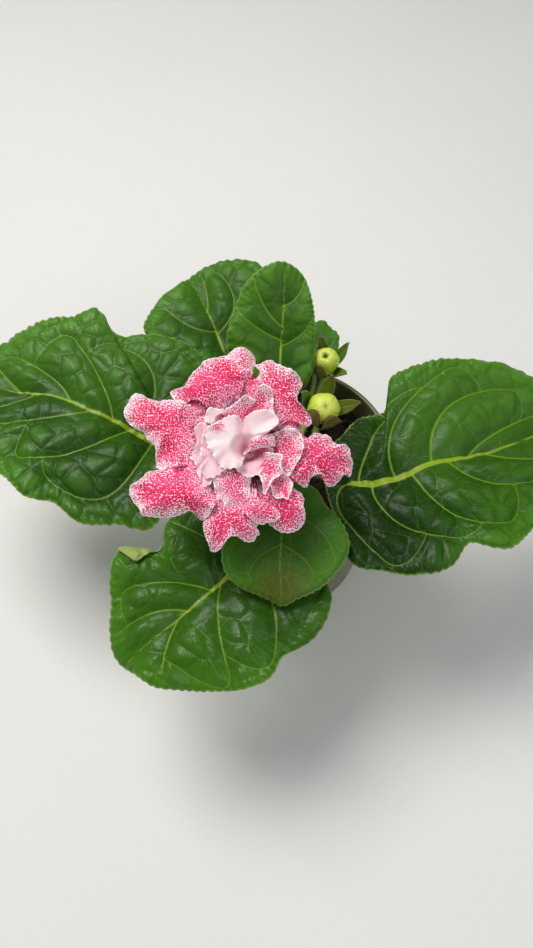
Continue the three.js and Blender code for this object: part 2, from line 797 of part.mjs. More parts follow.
function flowerSolids() {
  const heart = new THREE.SphereGeometry(HEART_RADIUS, 8, 5);
  const placeHeart = (n) => {
    const at = inFlower(0, 0, n);
    return solidOf(heart.clone().translate(at.x, at.y, at.z));
  };
  const spottedHeart = placeHeart(SPOTTED_HEART);
  const paleHeart = placeHeart(PALE_HEART);
  const innerSpotted = SPOTTED_PETALS.map((petal) => petalSolid(petal));
  const spotted = joined([outerCorolla(), spottedHeart, ...innerSpotted]);
  const keepClear = joined([
    ...SPOTTED_PETALS.map((petal) => petalSolid(petal, PETAL_CLEARANCE)),
    outerCorolla(PETAL_CLEARANCE),
    placeHeart(SPOTTED_HEART + PETAL_CLEARANCE),
  ]);
  const pale = joined([paleHeart, ...PALE_PETALS.map((petal) => petalSolid(petal))]);
  return { spotted: largest(spotted), pale: largest(pale.subtract(keepClear)) };
}

// ---- stalks, calyces and buds -------------------------------------------------------------------
// The pointed sepals of a calyx whose base is at `base`. They stand `start` from its axis, swell
// out by `radius`, and their tips spread by `open` more.
function sepals(base, { axis, count, start, length, width, radius, open, turn }) {
  const side = vec(1, 0, 0).addScaledVector(axis, -axis.x).normalize();
  const other = axis.clone().cross(side);
  return Array.from({ length: count }, (_, i) => {
    const a = turn + (2 * Math.PI * i) / count;
    const out = side.clone().multiplyScalar(Math.cos(a)).addScaledVector(other, Math.sin(a));
    const across = axis.clone().cross(out);
    const place = (s, t) => {
      const half = width * (0.55 + 0.9 * t) * Math.max(0, 1 - t) ** 0.75 + 0.35;
      const swell = radius * Math.sin(Math.min(1, 1.3 * t) * 0.5 * Math.PI);
      return base
        .clone()
        .addScaledVector(axis, length * t)
        .addScaledVector(out, start + swell + open * t * t - 0.5 * s * s)
        .addScaledVector(across, s * half);
    };
    return gridSheet(2, 4, place, BLADE);
  });
}

function calyxOnStalk({ points, thick, cup, calyx }) {
  const path = points.map((p) => vec(...p));
  const base = path[path.length - 1];
  const stalk = stem(path, thick, thick * 0.85, 8, 6);
  const bowl = new THREE.SphereGeometry(cup, 8, 5);
  bowl.translate(base.x, base.y, base.z);
  return joined([stalk, solidOf(bowl), ...sepals(base, calyx)]);
}

function budSolid(bud) {
  const centre = vec(...bud.at);
  const axis = vec(...bud.axis).normalize();
  const side = vec(1, 0, 0).addScaledVector(axis, -axis.x).normalize();
  const other = axis.clone().cross(side);
  const geometry = new THREE.SphereGeometry(1, 18, 9);
  const at = geometry.getAttribute('position');
  for (let i = 0; i < at.count; i += 1) {
    const p = vec(at.getX(i), -at.getZ(i), at.getY(i));
    const angle = Math.atan2(p.y, p.x);
    const belly = bud.radius * (1 + 0.07 * Math.cos(5 * angle + bud.turn) * (1 - p.z * p.z));
    const dimple = bud.mouth * Math.exp(-((Math.hypot(p.x, p.y) / 0.3) ** 2)) * (p.z > 0 ? 1 : 0);
    const spot = centre
      .clone()
      .addScaledVector(side, p.x * belly)
      .addScaledVector(other, p.y * belly)
      .addScaledVector(axis, p.z * bud.tall - dimple);
    at.setXYZ(i, spot.x, spot.y, spot.z);
  }
  return solidOf(geometry);
}

const BUDS = {
  bud_back: {
    at: [23.5, 45, 127],
    axis: [-0.05, -0.5, 0.86],
    radius: 6.6,
    tall: 8.2,
    mouth: 2.2,
    turn: 0.4,
    stalk: [[5, 4, 95], [12, 18, 106]],
    calyx: { count: 5, start: 1.2, length: 19, width: 4.4, radius: 7.6, open: 6, turn: 0.5 },
  },
  bud_front: {
    at: [19.5, 7, 137],
    axis: [0.05, -0.45, 0.9],
    radius: 8.2,
    tall: 8.6,
    mouth: 0.4,
    turn: 1.0,
    stalk: [[6, -1, 95], [14, 2, 108]],
    calyx: { count: 5, start: 1.2, length: 20, width: 5.2, radius: 9.9, open: 7, turn: 0.1 },
  },
};

const BUD_STALK_RADIUS = 1.7;
function budAndStalk(bud) {
  const axis = vec(...bud.axis).normalize();
  const base = vec(...bud.at).addScaledVector(axis, -bud.tall - 2.6);
  const stalk = calyxOnStalk({
    points: [...bud.stalk, base.toArray()],
    thick: BUD_STALK_RADIUS,
    cup: 2.2,
    calyx: { ...bud.calyx, axis },
  });
  return { bud: budSolid(bud), stalk };
}

// ---- the plant ----------------------------------------------------------------------------------
const plant = new THREE.Group();
const add = (name, solid, color, roughness) => plant.add(meshOf(name, solid, color, roughness));

// A plain hole in the crown round the lower end of each stem.
const sockets = [];
const socket = (points, radius) => {
  const path = points.slice(0, 3).map((p) => vec(...p));
  const root = path[0].clone().addScaledVector(path[1].clone().sub(path[0]).normalize(), -GAP);
  sockets.push(stem([root, ...path.slice(1)], radius + GAP, radius + GAP, 3, 6));
};

for (const [name, leaf] of Object.entries(LEAVES)) {
  const made = leafSolid(leaf);
  add(name, made.solid, GREEN, 0.35);
  socket(made.petiole, made.radius);
}

const flower = flowerSolids();
add('flower_spotted_petals', flower.spotted, CRIMSON, 0.6);
add('flower_pale_petals', flower.pale, BLUSH, 0.6);

const calyxBase = inFlower(0, 0, -TUBE_LENGTH - 3.2);
const FLOWER_STALK = {
  points: [[-5, -2, 95], [-13, -8, 112], calyxBase.toArray()],
  thick: 2.1,
  cup: 2.4,
  calyx: {
    axis: flowerAxes.n,
    count: 5,
    start: 1.4,
    length: 26,
    width: 4.2,
    radius: 9.6,
    open: 8,
    turn: 0.9,
  },
};
add('flower_stalk_and_calyx', calyxOnStalk(FLOWER_STALK), LIGHT_GREEN, 0.6);
socket(FLOWER_STALK.points, FLOWER_STALK.thick);

for (const [name, bud] of Object.entries(BUDS)) {
  const made = budAndStalk(bud);
  add(name, made.bud, BUD_GREEN, 0.5);
  add(`${name}_stalk_and_calyx`, made.stalk, LIGHT_GREEN, 0.6);
  socket(bud.stalk, BUD_STALK_RADIUS);
}

const sunk = tuberAndCrown(0);
add('tuber_and_crown', largest(sunk.subtract(joined(sockets))), TUBER_BROWN, 0.8);
add('soil', largest(soil().subtract(tuberAndCrown(GAP + 0.15))), PEAT, 0.95);
add('pot', pot(), OLIVE, 0.45);

export default plant;
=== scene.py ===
import math
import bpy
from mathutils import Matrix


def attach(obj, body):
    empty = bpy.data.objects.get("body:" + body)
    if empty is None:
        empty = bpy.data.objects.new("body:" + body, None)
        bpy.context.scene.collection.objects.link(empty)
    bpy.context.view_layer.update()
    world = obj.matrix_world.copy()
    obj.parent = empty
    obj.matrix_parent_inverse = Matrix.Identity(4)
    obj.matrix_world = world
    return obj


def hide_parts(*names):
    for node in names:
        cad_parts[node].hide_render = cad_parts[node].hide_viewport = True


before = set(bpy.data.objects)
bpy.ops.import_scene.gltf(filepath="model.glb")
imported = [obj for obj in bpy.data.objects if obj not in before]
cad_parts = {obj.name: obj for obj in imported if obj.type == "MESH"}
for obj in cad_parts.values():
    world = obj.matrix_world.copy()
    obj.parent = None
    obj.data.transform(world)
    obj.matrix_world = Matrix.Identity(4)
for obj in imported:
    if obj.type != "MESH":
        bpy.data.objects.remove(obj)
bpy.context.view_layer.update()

from types import SimpleNamespace

import bmesh
import bpy
import numpy as np
from mathutils import Vector, noise

# ---- camera, floor and light ----
# The plant stands on a plain pale floor and is seen from above its front. One wide soft panel lights
# it from the upper left, a weaker one fills from the right, and the room around is evenly pale.
FLOOR_HALF = 12.0
MIDDLE_OF_PLANT = Vector((0, 0, 0.1))
scene = bpy.context.scene
scene.view_settings.view_transform = "Standard"

camera = bpy.data.objects.new("camera", bpy.data.cameras.new("camera"))
camera.location = (-0.0095, -0.2088, 0.4414)
camera.rotation_euler = (math.radians(30.2), 0, 0)
camera.data.lens = 27.72
camera.data.clip_start = 0.01
scene.collection.objects.link(camera)
scene.camera = camera


def soft_panel(name, place, width, watts, colour):
    """A square panel of light at `place` that faces the plant."""
    light = bpy.data.objects.new(name, bpy.data.lights.new(name, "AREA"))
    light.data.size = width
    light.data.energy = watts
    light.data.color = colour
    light.location = place
    light.rotation_euler = (MIDDLE_OF_PLANT - light.location).to_track_quat("-Z", "Y").to_euler()
    scene.collection.objects.link(light)


soft_panel("key_panel", (-0.42, 0.3, 1.2), 0.6, 12.5, (1.0, 0.98, 0.95))
soft_panel("fill_panel", (0.7, -0.8, 1.0), 0.8, 4.5, (0.96, 0.98, 1.0))

world = bpy.data.worlds.new("pale_room")
world.use_nodes = True
world.node_tree.nodes["Background"].inputs["Color"].default_value = (0.92, 0.95, 1.0, 1)
world.node_tree.nodes["Background"].inputs["Strength"].default_value = 0.3
scene.world = world


def add_node(near, kind, inputs=None, **options):
    """Adds a shader node beside `near`. `inputs` gives each input a value or what feeds it."""
    tree = near.id_data
    new = tree.nodes.new("ShaderNode" + kind)
    for option, value in options.items():
        setattr(new, option, value)
    for key, value in (inputs or {}).items():
        if isinstance(value, bpy.types.NodeSocket):
            tree.links.new(value, new.inputs[key])
        else:
            new.inputs[key].default_value = value
    return new


def start_finish(name, roughness, specular=0.5):
    """A new material, its shader, and the point on the piece in millimetres."""
    made = bpy.data.materials.new(name)
    made.use_nodes = True
    shader = made.node_tree.nodes["Principled BSDF"]
    shader.inputs["Roughness"].default_value = roughness
    shader.inputs["Specular IOR Level"].default_value = specular
    place = add_node(shader, "TexCoord").outputs["Object"]
    at = add_node(shader, "VectorMath", {0: place, "Scale": 1000.0}, operation="SCALE").outputs[0]
    return made, shader, at


def cloud(where, scale, detail=2.0, roughness=0.5):
    """Soft random patches, 0 to 1."""
    inputs = {"Vector": where, "Scale": scale, "Detail": detail, "Roughness": roughness}
    return add_node(where, "TexNoise", inputs).outputs[0]


def paint(colour):
    """What feeds a colour, or the shader colour for a paint chart's numbers, 0 to 255."""
    if isinstance(colour, bpy.types.NodeSocket):
        return colour
    return tuple((((c / 255) + 0.055) / 1.055) ** 2.4 for c in colour) + (1.0,)


def tint(share, a, b, *layers):
    """Colour a, going to b by `share`, under further layers that are each a share and a colour."""
    for part, colour in ((share, b), *layers):
        a = add_node(part, "Mix", {0: part, 6: paint(a), 7: paint(colour)}, data_type="RGBA").outputs[2]
    return a


def coat(shader, shade, height=None, depth_mm=0):
    """Gives the shader its colour, and raises the surface by up to `depth_mm` where height is 1."""
    links = shader.id_data.links
    links.new(shade, shader.inputs["Base Color"])
    if height is not None:
        inputs = {"Height": height, "Distance": depth_mm * 0.001, "Strength": 1.0}
        links.new(add_node(shader, "Bump", inputs).outputs[0], shader.inputs["Normal"])


floor_mesh = bpy.data.meshes.new("floor")
corners = [(-1, -1), (1, -1), (1, 1), (-1, 1)]
floor_mesh.from_pydata([(FLOOR_HALF * x, FLOOR_HALF * y, 0) for x, y in corners], [], [(0, 1, 2, 3)])
floor = bpy.data.objects.new("floor", floor_mesh)
scene.collection.objects.link(floor)
floor_finish, shader, at = start_finish("pale_floor", 0.7, 0.3)
coat(shader, tint(cloud(at, 0.004), (226, 225, 221), (234, 233, 230)))
floor_mesh.materials.append(floor_finish)

# ---- pot ----
# A grower's pot, moulded in one piece of thin olive plastic. It has a stepped rim band, a raised
# floor with drain holes, and a foot ring and a centre disc that it stands on.
MM = 0.001
POT_HEIGHT = 105
RIM_RADIUS = 60
BASE_RADIUS = 51
WALL = 1.4
RIM_BAND_HEIGHT = 11
RIM_STEP = 1.1
FLOOR_RAISE = 2.6
FLOOR_TOP = 4.6
FOOT_INNER_RADIUS = 44
CENTRE_DISC_RADIUS = 24
DRAIN_HOLES = 6
DRAIN_RADIUS = 4
DRAIN_CIRCLE = 34
POT_SEGMENTS = 192
SHARP_EDGE = math.radians(40)


def wall_radius(z):
    """The outer radius of the pot's wall below its rim band."""
    slope = (RIM_RADIUS - RIM_STEP - BASE_RADIUS) / (POT_HEIGHT - RIM_BAND_HEIGHT)
    return BASE_RADIUS + slope * z


def ease(value, low, high, start=0.0, end=1.0):
    """Goes smoothly from `start` to `end` as the value goes from `low` to `high`."""
    inputs = {"Value": value, "From Min": low, "From Max": high, "To Min": start, "To Max": end}
    return add_node(value, "MapRange", inputs, interpolation_type="SMOOTHSTEP").outputs[0]


def columns(*values):
    """An array with these values as its columns."""
    return np.stack(np.broadcast_arrays(*values), axis=-1)


def polar(radius, turn):
    """x and y of the place at a radius and a turn."""
    return radius * np.cos(turn), radius * np.sin(turn)


def circle(count):
    """Numbers of the points round a ring, the number of the next one, and their turns."""
    i = np.arange(count)
    return i, (i + 1) % count, 2 * np.pi * i / count


def ring_faces(rings, count):
    """Faces that join rings of points, and caps to the low and high end that follow them."""
    i, j, _ = circle(count)
    faces = []
    for a in range(0, (rings - 1) * count, count):
        faces += columns(a + i, a + j, a + count + j, a + count + i).tolist()
    low, last = rings * count, (rings - 1) * count
    return faces + columns(low, j, i).tolist() + columns(low + 1, last + i, last + j).tolist()


def turned(profile, segments):
    """Turns a profile of (radius, height), from axis to axis, round the upright axis."""
    profile = np.array(profile, float)
    radius, height = profile[1:-1, :1], profile[1:-1, 1:]
    points = columns(*polar(radius, circle(segments)[2]), height).reshape(-1, 3)
    ends = [[0, 0, profile[0, 1]], [0, 0, profile[-1, 1]]]
    return np.concatenate([points, ends]), ring_faces(len(radius), segments)


def part_of(points, faces, finish=0, **fields):
    """Part of a piece: points in mm, faces, the number of its finish and values on its points."""
    return SimpleNamespace(points=np.asarray(points, float), faces=faces, finish=finish, fields=fields)


def make_piece(name, parts, finishes, slot, *nodes):
    """Joins the parts in one mesh. It rides on the root and stands for the nodes, where any are named."""
    mesh = bpy.data.meshes.new(name)
    faces, marks, start = [], [], 0
    for part in parts:
        faces += [[corner + start for corner in face] for face in part.faces]
        marks += [part.finish] * len(part.faces)
        start += len(part.points)
    mesh.from_pydata((np.concatenate([part.points for part in parts]) * MM).tolist(), [], faces)
    mesh.polygons.foreach_set("material_index", marks)
    mesh.polygons.foreach_set("use_smooth", [True] * len(faces))
    for field_name in sorted({key for part in parts for key in part.fields}):
        values = [np.broadcast_to(part.fields.get(field_name, 0.0), len(part.points)) for part in parts]
        layer = mesh.attributes.new(field_name, "FLOAT", "POINT")
        layer.data.foreach_set("value", np.concatenate(values).astype(np.float32))
    for finish in finishes:
        mesh.materials.append(finish)
    piece = bpy.data.objects.new(name, mesh)
    scene.collection.objects.link(piece)
    if nodes:
        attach(piece, "root")
        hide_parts(*nodes)
    return piece


def pot_profile():
    """The wall's outline from the middle of its underside, out, up, over the rim and back inside."""
    disc, foot, base, rim = CENTRE_DISC_RADIUS, FOOT_INNER_RADIUS, BASE_RADIUS, RIM_RADIUS
    raised, top, band = FLOOR_RAISE, POT_HEIGHT, POT_HEIGHT - RIM_BAND_HEIGHT
    wall, inside, low_inside = wall_radius(band), rim - RIM_STEP - WALL, wall_radius(FLOOR_TOP) - WALL
    return [
        (0, 0), (disc - 0.4, 0), (disc, 0.4), (disc + 0.8, raised - 0.3), (disc + 1.2, raised),
        (foot - 0.3, raised), (foot + 0.2, raised - 0.4), (foot + 0.9, 0.3), (foot + 1.2, 0),
        (base - 1.1, 0), (base - 0.4, 0.2), (base, 0.8), (wall_radius(30), 30), (wall_radius(60), 60),
        (wall - 0.05, band - 0.6), (wall + 0.1, band - 0.1), (rim - 0.6, band + 0.3),
        (rim - 0.3, band + 0.9), (rim - 0.1, top - 5), (rim, top - 1.2), (rim - 0.1, top - 0.5),
        (rim - 0.5, top - 0.1), (rim - 1.2, top), (inside + 0.5, top - 0.1), (inside + 0.1, top - 0.5),
        (inside, top - 1.2), (wall - WALL, band), (wall_radius(60) - WALL, 60),
        (wall_radius(30) - WALL, 30), (low_inside - 0.1, FLOOR_TOP + 0.6), (low_inside - 0.6, FLOOR_TOP),
        (0, FLOOR_TOP),
    ]


def drilled(piece, places, radius, depth):
    """Cuts upright round holes through a piece and keeps the result as its mesh."""
    points, faces = turned([(0, -1), (radius, -1), (radius, depth), (0, depth)], segments=32)
    cutter = make_piece("drill", [part_of(points + [*place, 0], faces) for place in places], [], "")
    cut = piece.modifiers.new("holes", "BOOLEAN")
    cut.object = cutter
    cut.solver = "EXACT"
    made = bpy.data.meshes.new_from_object(piece.evaluated_get(bpy.context.evaluated_depsgraph_get()))
    piece.modifiers.clear()
    piece.data = made
    bpy.data.objects.remove(cutter)


pot_finish, shader, at = start_finish("olive_moulded_plastic", 0.42)
dust = ease(cloud(at, 0.08, 5.0), 0.35, 0.8)
coat(shader, tint(dust, (97, 99, 62), (105, 107, 70)), cloud(at, 2.5), 0.02)
worn = ease(cloud(at, 0.2, 3.0), 0.3, 0.7, 0.34, 0.42)
pot_finish.node_tree.links.new(worn, shader.inputs["Roughness"])

pot_parts = [part_of(*turned(pot_profile(), POT_SEGMENTS))]
pot = make_piece("pot_shell", pot_parts, [pot_finish], "pot_plastic", "pot")
hole_turns = circle(DRAIN_HOLES)[2] + np.pi / DRAIN_HOLES
drilled(pot, columns(*polar(DRAIN_CIRCLE, hole_turns)), DRAIN_RADIUS, FLOOR_TOP + 1)
pot.data.set_sharp_from_angle(angle=SHARP_EDGE)

# ---- soil ----
# Dark moist peat, filled to a finger's width below the rim. Its top is rough, with loose crumbs of
# all sizes and a few pale fibres lying on it.
SOIL_LEVEL = 87
SOIL_FOOT = FLOOR_TOP + 0.35
SOIL_GAP = 0.45
SOIL_RINGS = 60
SOIL_RIM = 256
CRUMBS = 420
CRUMB_SIZES = (0.5, 2.4)
CRUMB_PLACES = (12, 54)  # distances from the pot's middle
FIBRES = 60
FIBRE_LENGTHS = (2, 6)
FIBRE_PLACES = (18, 52)
FIBRE_RADII = (0.14, 0.07)
FIBRE_STEPS = 6
FIBRE_SIDES = 5
random = np.random.default_rng(7)


def round_grid(rings, rim):
    """A disc of `rings` rings out to `rim` points, halved inwards where they would crowd.

    Returns each point's share of the radius and its turn, the triangles, and the border.
    """
    shares, turns, faces, start, inner_count = [np.zeros(1)], [np.zeros(1)], [], 1, 1
    for ring in range(1, rings + 1):
        count = rim
        while count % 2 == 0 and count > 16 and count > 1.6 * rim * ring / rings:
            count //= 2
        i, j, turn = circle(count)
        shares.append(np.full(count, ring / rings))
        turns.append(turn)
        ratio = count // inner_count
        a = start - inner_count + i // ratio
        b = start - inner_count + (i // ratio + 1) % inner_count
        faces.append(columns(a, start + i, start + j))
        if ring > 1:
            faces.append(columns(a, start + j, b)[i % ratio == ratio - 1])
        start += count
        inner_count = count
    return np.concatenate(shares), np.concatenate(turns), np.concatenate(faces), start - count + i


def rough(points, scale, seed=0.0, octaves=4):
    """Fractal roughness at each point, about -1 to 1."""
    return np.array([noise.fractal(Vector(p) * scale + Vector((seed, 0, 0)), 1.0, 2.0, octaves)
                     for p in points.tolist()])


def soil_height(x, y):
    return (
        SOIL_LEVEL + 1.1 * np.sin(0.21 * x + 0.6) * np.cos(0.18 * y)
        + 0.7 * np.sin(0.47 * x - 0.33 * y + 1.3) + 0.5 * np.cos(0.61 * y + 0.4 * x)
    )


def soil_body():
    share, turn, faces, border = round_grid(SOIL_RINGS, SOIL_RIM)
    top_radius, foot_radius = (wall_radius(z) - WALL - SOIL_GAP for z in (SOIL_LEVEL, SOIL_FOOT))
    x, y = polar(share * top_radius, turn)
    flat = columns(x, y, 0.0)
    grain = 0.9 * rough(flat, 0.22) + 0.5 * rough(flat, 0.9, seed=9.0, octaves=3)
    i, j, turn = circle(SOIL_RIM)
    foot = columns(*polar(foot_radius, turn), SOIL_FOOT)
    points = np.concatenate([columns(x, y, soil_height(x, y) + grain * (1 - share**8)), foot,
                             [[0, 0, SOIL_FOOT]]])
    low, centre = len(share), len(points) - 1
    wall = columns(border, low + i, low + j, border[j])
    return part_of(points, faces.tolist() + wall.tolist() + columns(centre, low + j, low + i).tolist())


def ball(subdivisions):
    """The points and faces of a round ball of radius 1."""
    shape = bmesh.new()
    bmesh.ops.create_icosphere(shape, subdivisions=subdivisions, radius=1)
    points = np.array([v.co for v in shape.verts])
    faces = [[v.index for v in face.verts] for face in shape.faces]
    shape.free()
    return points, faces


def crumbs():
    round_points, round_faces = ball(subdivisions=2)
    made = []
    for _ in range(CRUMBS):
        turn = random.uniform(0, 2 * np.pi)
        radius = np.interp(math.sqrt(random.uniform(0, 1)), (0, 1), CRUMB_PLACES)
        size = np.interp(random.uniform(0, 1) ** 3, (0, 1), CRUMB_SIZES)
        lumps = rough(round_points, 1.6, random.uniform(0, 99), octaves=2)
        shape = round_points * (1 + 0.35 * lumps)[:, None] * size * random.uniform(0.6, 1.2, 3)
        x, y = polar(radius, turn)
        made.append(part_of(shape + [x, y, soil_height(x, y) + 0.3 * size], round_faces,
                            pale=random.uniform(0, 0.5)))
    return made


def smooth_path(points, steps):
    """Evenly spaced points along a smooth curve through the given ones."""
    points = np.array(points, float)
    points = np.concatenate([[2 * points[0] - points[1]], points, [2 * points[-1] - points[-2]]])
    gaps = np.sqrt(np.linalg.norm(np.diff(points, axis=0), axis=1))
    dense = []
    for k in range(1, len(points) - 2):
        before, span, after = gaps[k - 1 : k + 2]
        a, b, c, d = points[k - 1 : k + 3]
        leave = span * ((b - a) / before - (c - a) / (before + span) + (c - b) / span)
        arrive = span * ((c - b) / span - (d - b) / (span + after) + (d - c) / after)
        t = np.linspace(0, 1, 40)[:, None]
        curve = (2 * t**3 - 3 * t**2 + 1) * b + (t**3 - 2 * t**2 + t) * leave
        dense.append(curve + (3 * t**2 - 2 * t**3) * c + (t**3 - t**2) * arrive)
    dense = np.concatenate(dense)
    reach = np.concatenate([[0], np.cumsum(np.linalg.norm(np.diff(dense, axis=0), axis=1))])
    wanted = np.linspace(0, reach[-1], steps + 1)
    return columns(*(np.interp(wanted, reach, coordinate) for coordinate in dense.T))


def unit(vectors):
    """The vectors, each at a length of 1."""
    return vectors / np.linalg.norm(vectors, axis=-1, keepdims=True)


def tube(path, radii, sides):
    """A round stem along a path, with a radius for each of its points."""
    ahead = unit(np.gradient(path, axis=0))
    side = np.cross(ahead[0], [0.3, 0.5, 0.8])
    turns = circle(sides)[2][:, None]
    rings = []
    for centre, way, radius in zip(path, ahead, radii):
        side = unit(side - way * (side @ way))
        rings.append(centre + radius * (np.cos(turns) * side + np.sin(turns) * np.cross(way, side)))
    return np.concatenate(rings + [path[:1], path[-1:]]), ring_faces(len(path), sides)


def fibres():
    made = []
    for _ in range(FIBRES):
        turn, radius = random.uniform(0, 2 * np.pi), random.uniform(*FIBRE_PLACES)
        way, length = random.uniform(0, 2 * np.pi), random.uniform(*FIBRE_LENGTHS)
        route = []
        for share in (-0.5, 0, 0.5):
            place = np.array(polar(radius, turn)) + share * np.array(polar(length, way))
            x, y = place + random.uniform(-0.5, 0.5, 2)
            route.append((x, y, soil_height(x, y) + 0.8 - 2 * share * share))
        radii = np.linspace(*FIBRE_RADII, FIBRE_STEPS + 1)
        made.append(part_of(*tube(smooth_path(route, FIBRE_STEPS), radii, FIBRE_SIDES), pale=1.0))
    return made


def field(near, name):
    """The values called `name` that the piece carries on its points."""
    return add_node(near, "Attribute", attribute_name=name).outputs["Fac"]


peat_finish, shader, at = start_finish("moist_peat", 0.9, 0.25)
shade = tint(cloud(at, 0.5, 5.0, 0.7), (17, 13, 9), (52, 40, 29), (field(at, "pale"), (74, 56, 38)))
coat(shader, shade, cloud(at, 1.5, 6.0, 0.75), 0.5)
make_piece("peat", [soil_body(), *crumbs(), *fibres()], [peat_finish], "peat", "soil")

# ---- tuber and crown ----
# The plant's flattened tuber, with a brown corky skin. The short green crown on it, which all the
# petioles and stalks grow from, stands just out of the peat.
TUBER_PROFILE = [(0, 58), (11, 60), (18, 66), (20, 73), (18, 80), (14, 84), (13, 90), (10.5, 95),
                 (6, 97.2), (0, 98)]
TUBER_MIDDLE = np.array([0, 0, 80])
TUBER_RINGS = 60
TUBER_SEGMENTS = 96


def tuber_body():
    knots = np.arange(len(TUBER_PROFILE))
    along = np.linspace(0, knots[-1], TUBER_RINGS)
    fine = columns(*(np.interp(along, knots, values) for values in zip(*TUBER_PROFILE)))
    points, faces = turned(fine, TUBER_SEGMENTS)
    knobs = 1 + 0.05 * rough(points, 0.12, seed=3.0) + 0.02 * rough(points, 0.6, seed=5.0)
    return part_of(TUBER_MIDDLE + (points - TUBER_MIDDLE) * knobs[:, None], faces)


tuber_finish, shader, at = start_finish("corky_tuber", 0.85)
crown = ease(add_node(at, "SeparateXYZ", {0: at}).outputs[2], 86, 94)
shade = tint(cloud(at, 0.4, 5.0), (62, 46, 30), (112, 88, 58), (crown, (92, 104, 44)))
coat(shader, shade, cloud(at, 1.2, 6.0), 0.4)
make_piece("tuber_with_crown", [tuber_body()], [tuber_finish], "tuber", "tuber_and_crown")

# ---- leaves ----
# Each leaf is one thick quilted blade on a fleshy petiole that grows from the crown. The blade
# swells between its sunken veins, has a scalloped edge with a fringe of fine hairs, and is deep
# glossy green above and pale green below, where the midrib stands out.
BLADE_SPACING = 0.85  # between the mesh's points, in mm
BLADE_THICKNESS = 0.6
FLAP_THICKNESS = 0.5
FLAP_STEPS = 18
VALLEY_WIDTH = 14
VEIN_DEPTH = 3.2
VEIN_WIDTH = 5.5
SCALLOP_LENGTH = 4.0
SCALLOP_DEPTH = 0.45
NET_SPACING = 11.0
FINE_NET_SPACING = 0.42 * NET_SPACING
VEIN_START, VEIN_END, LOOP_END = 0.22, 0.08, 0.05  # half widths, as shares of the petiole's radius
RIB_REACH = 0.72
RIB_DEPTH = 1.7
RIB_END = 0.7
BOW_STEPS = 12
JOIN_STEP = 10  # of the next vein's bow, where the loop from a vein's end joins it
PETIOLE_STEPS = 90
PETIOLE_SIDES = 20
FRINGE_HAIRS = 14  # for each mm of the blade's mean radius
DOWN_HAIRS = 18
STEM_HAIRS = 900
FAR = 99.0  # a distance in mm that is far from everything


def leaf_of(**sizes):
    """A leaf's sizes, with those that only some leaves have."""
    return SimpleNamespace(**{"bumps": (), "crease": None, "flap": None, "bright": 0, "bronze": 0,
                              "vein": 1, **sizes})


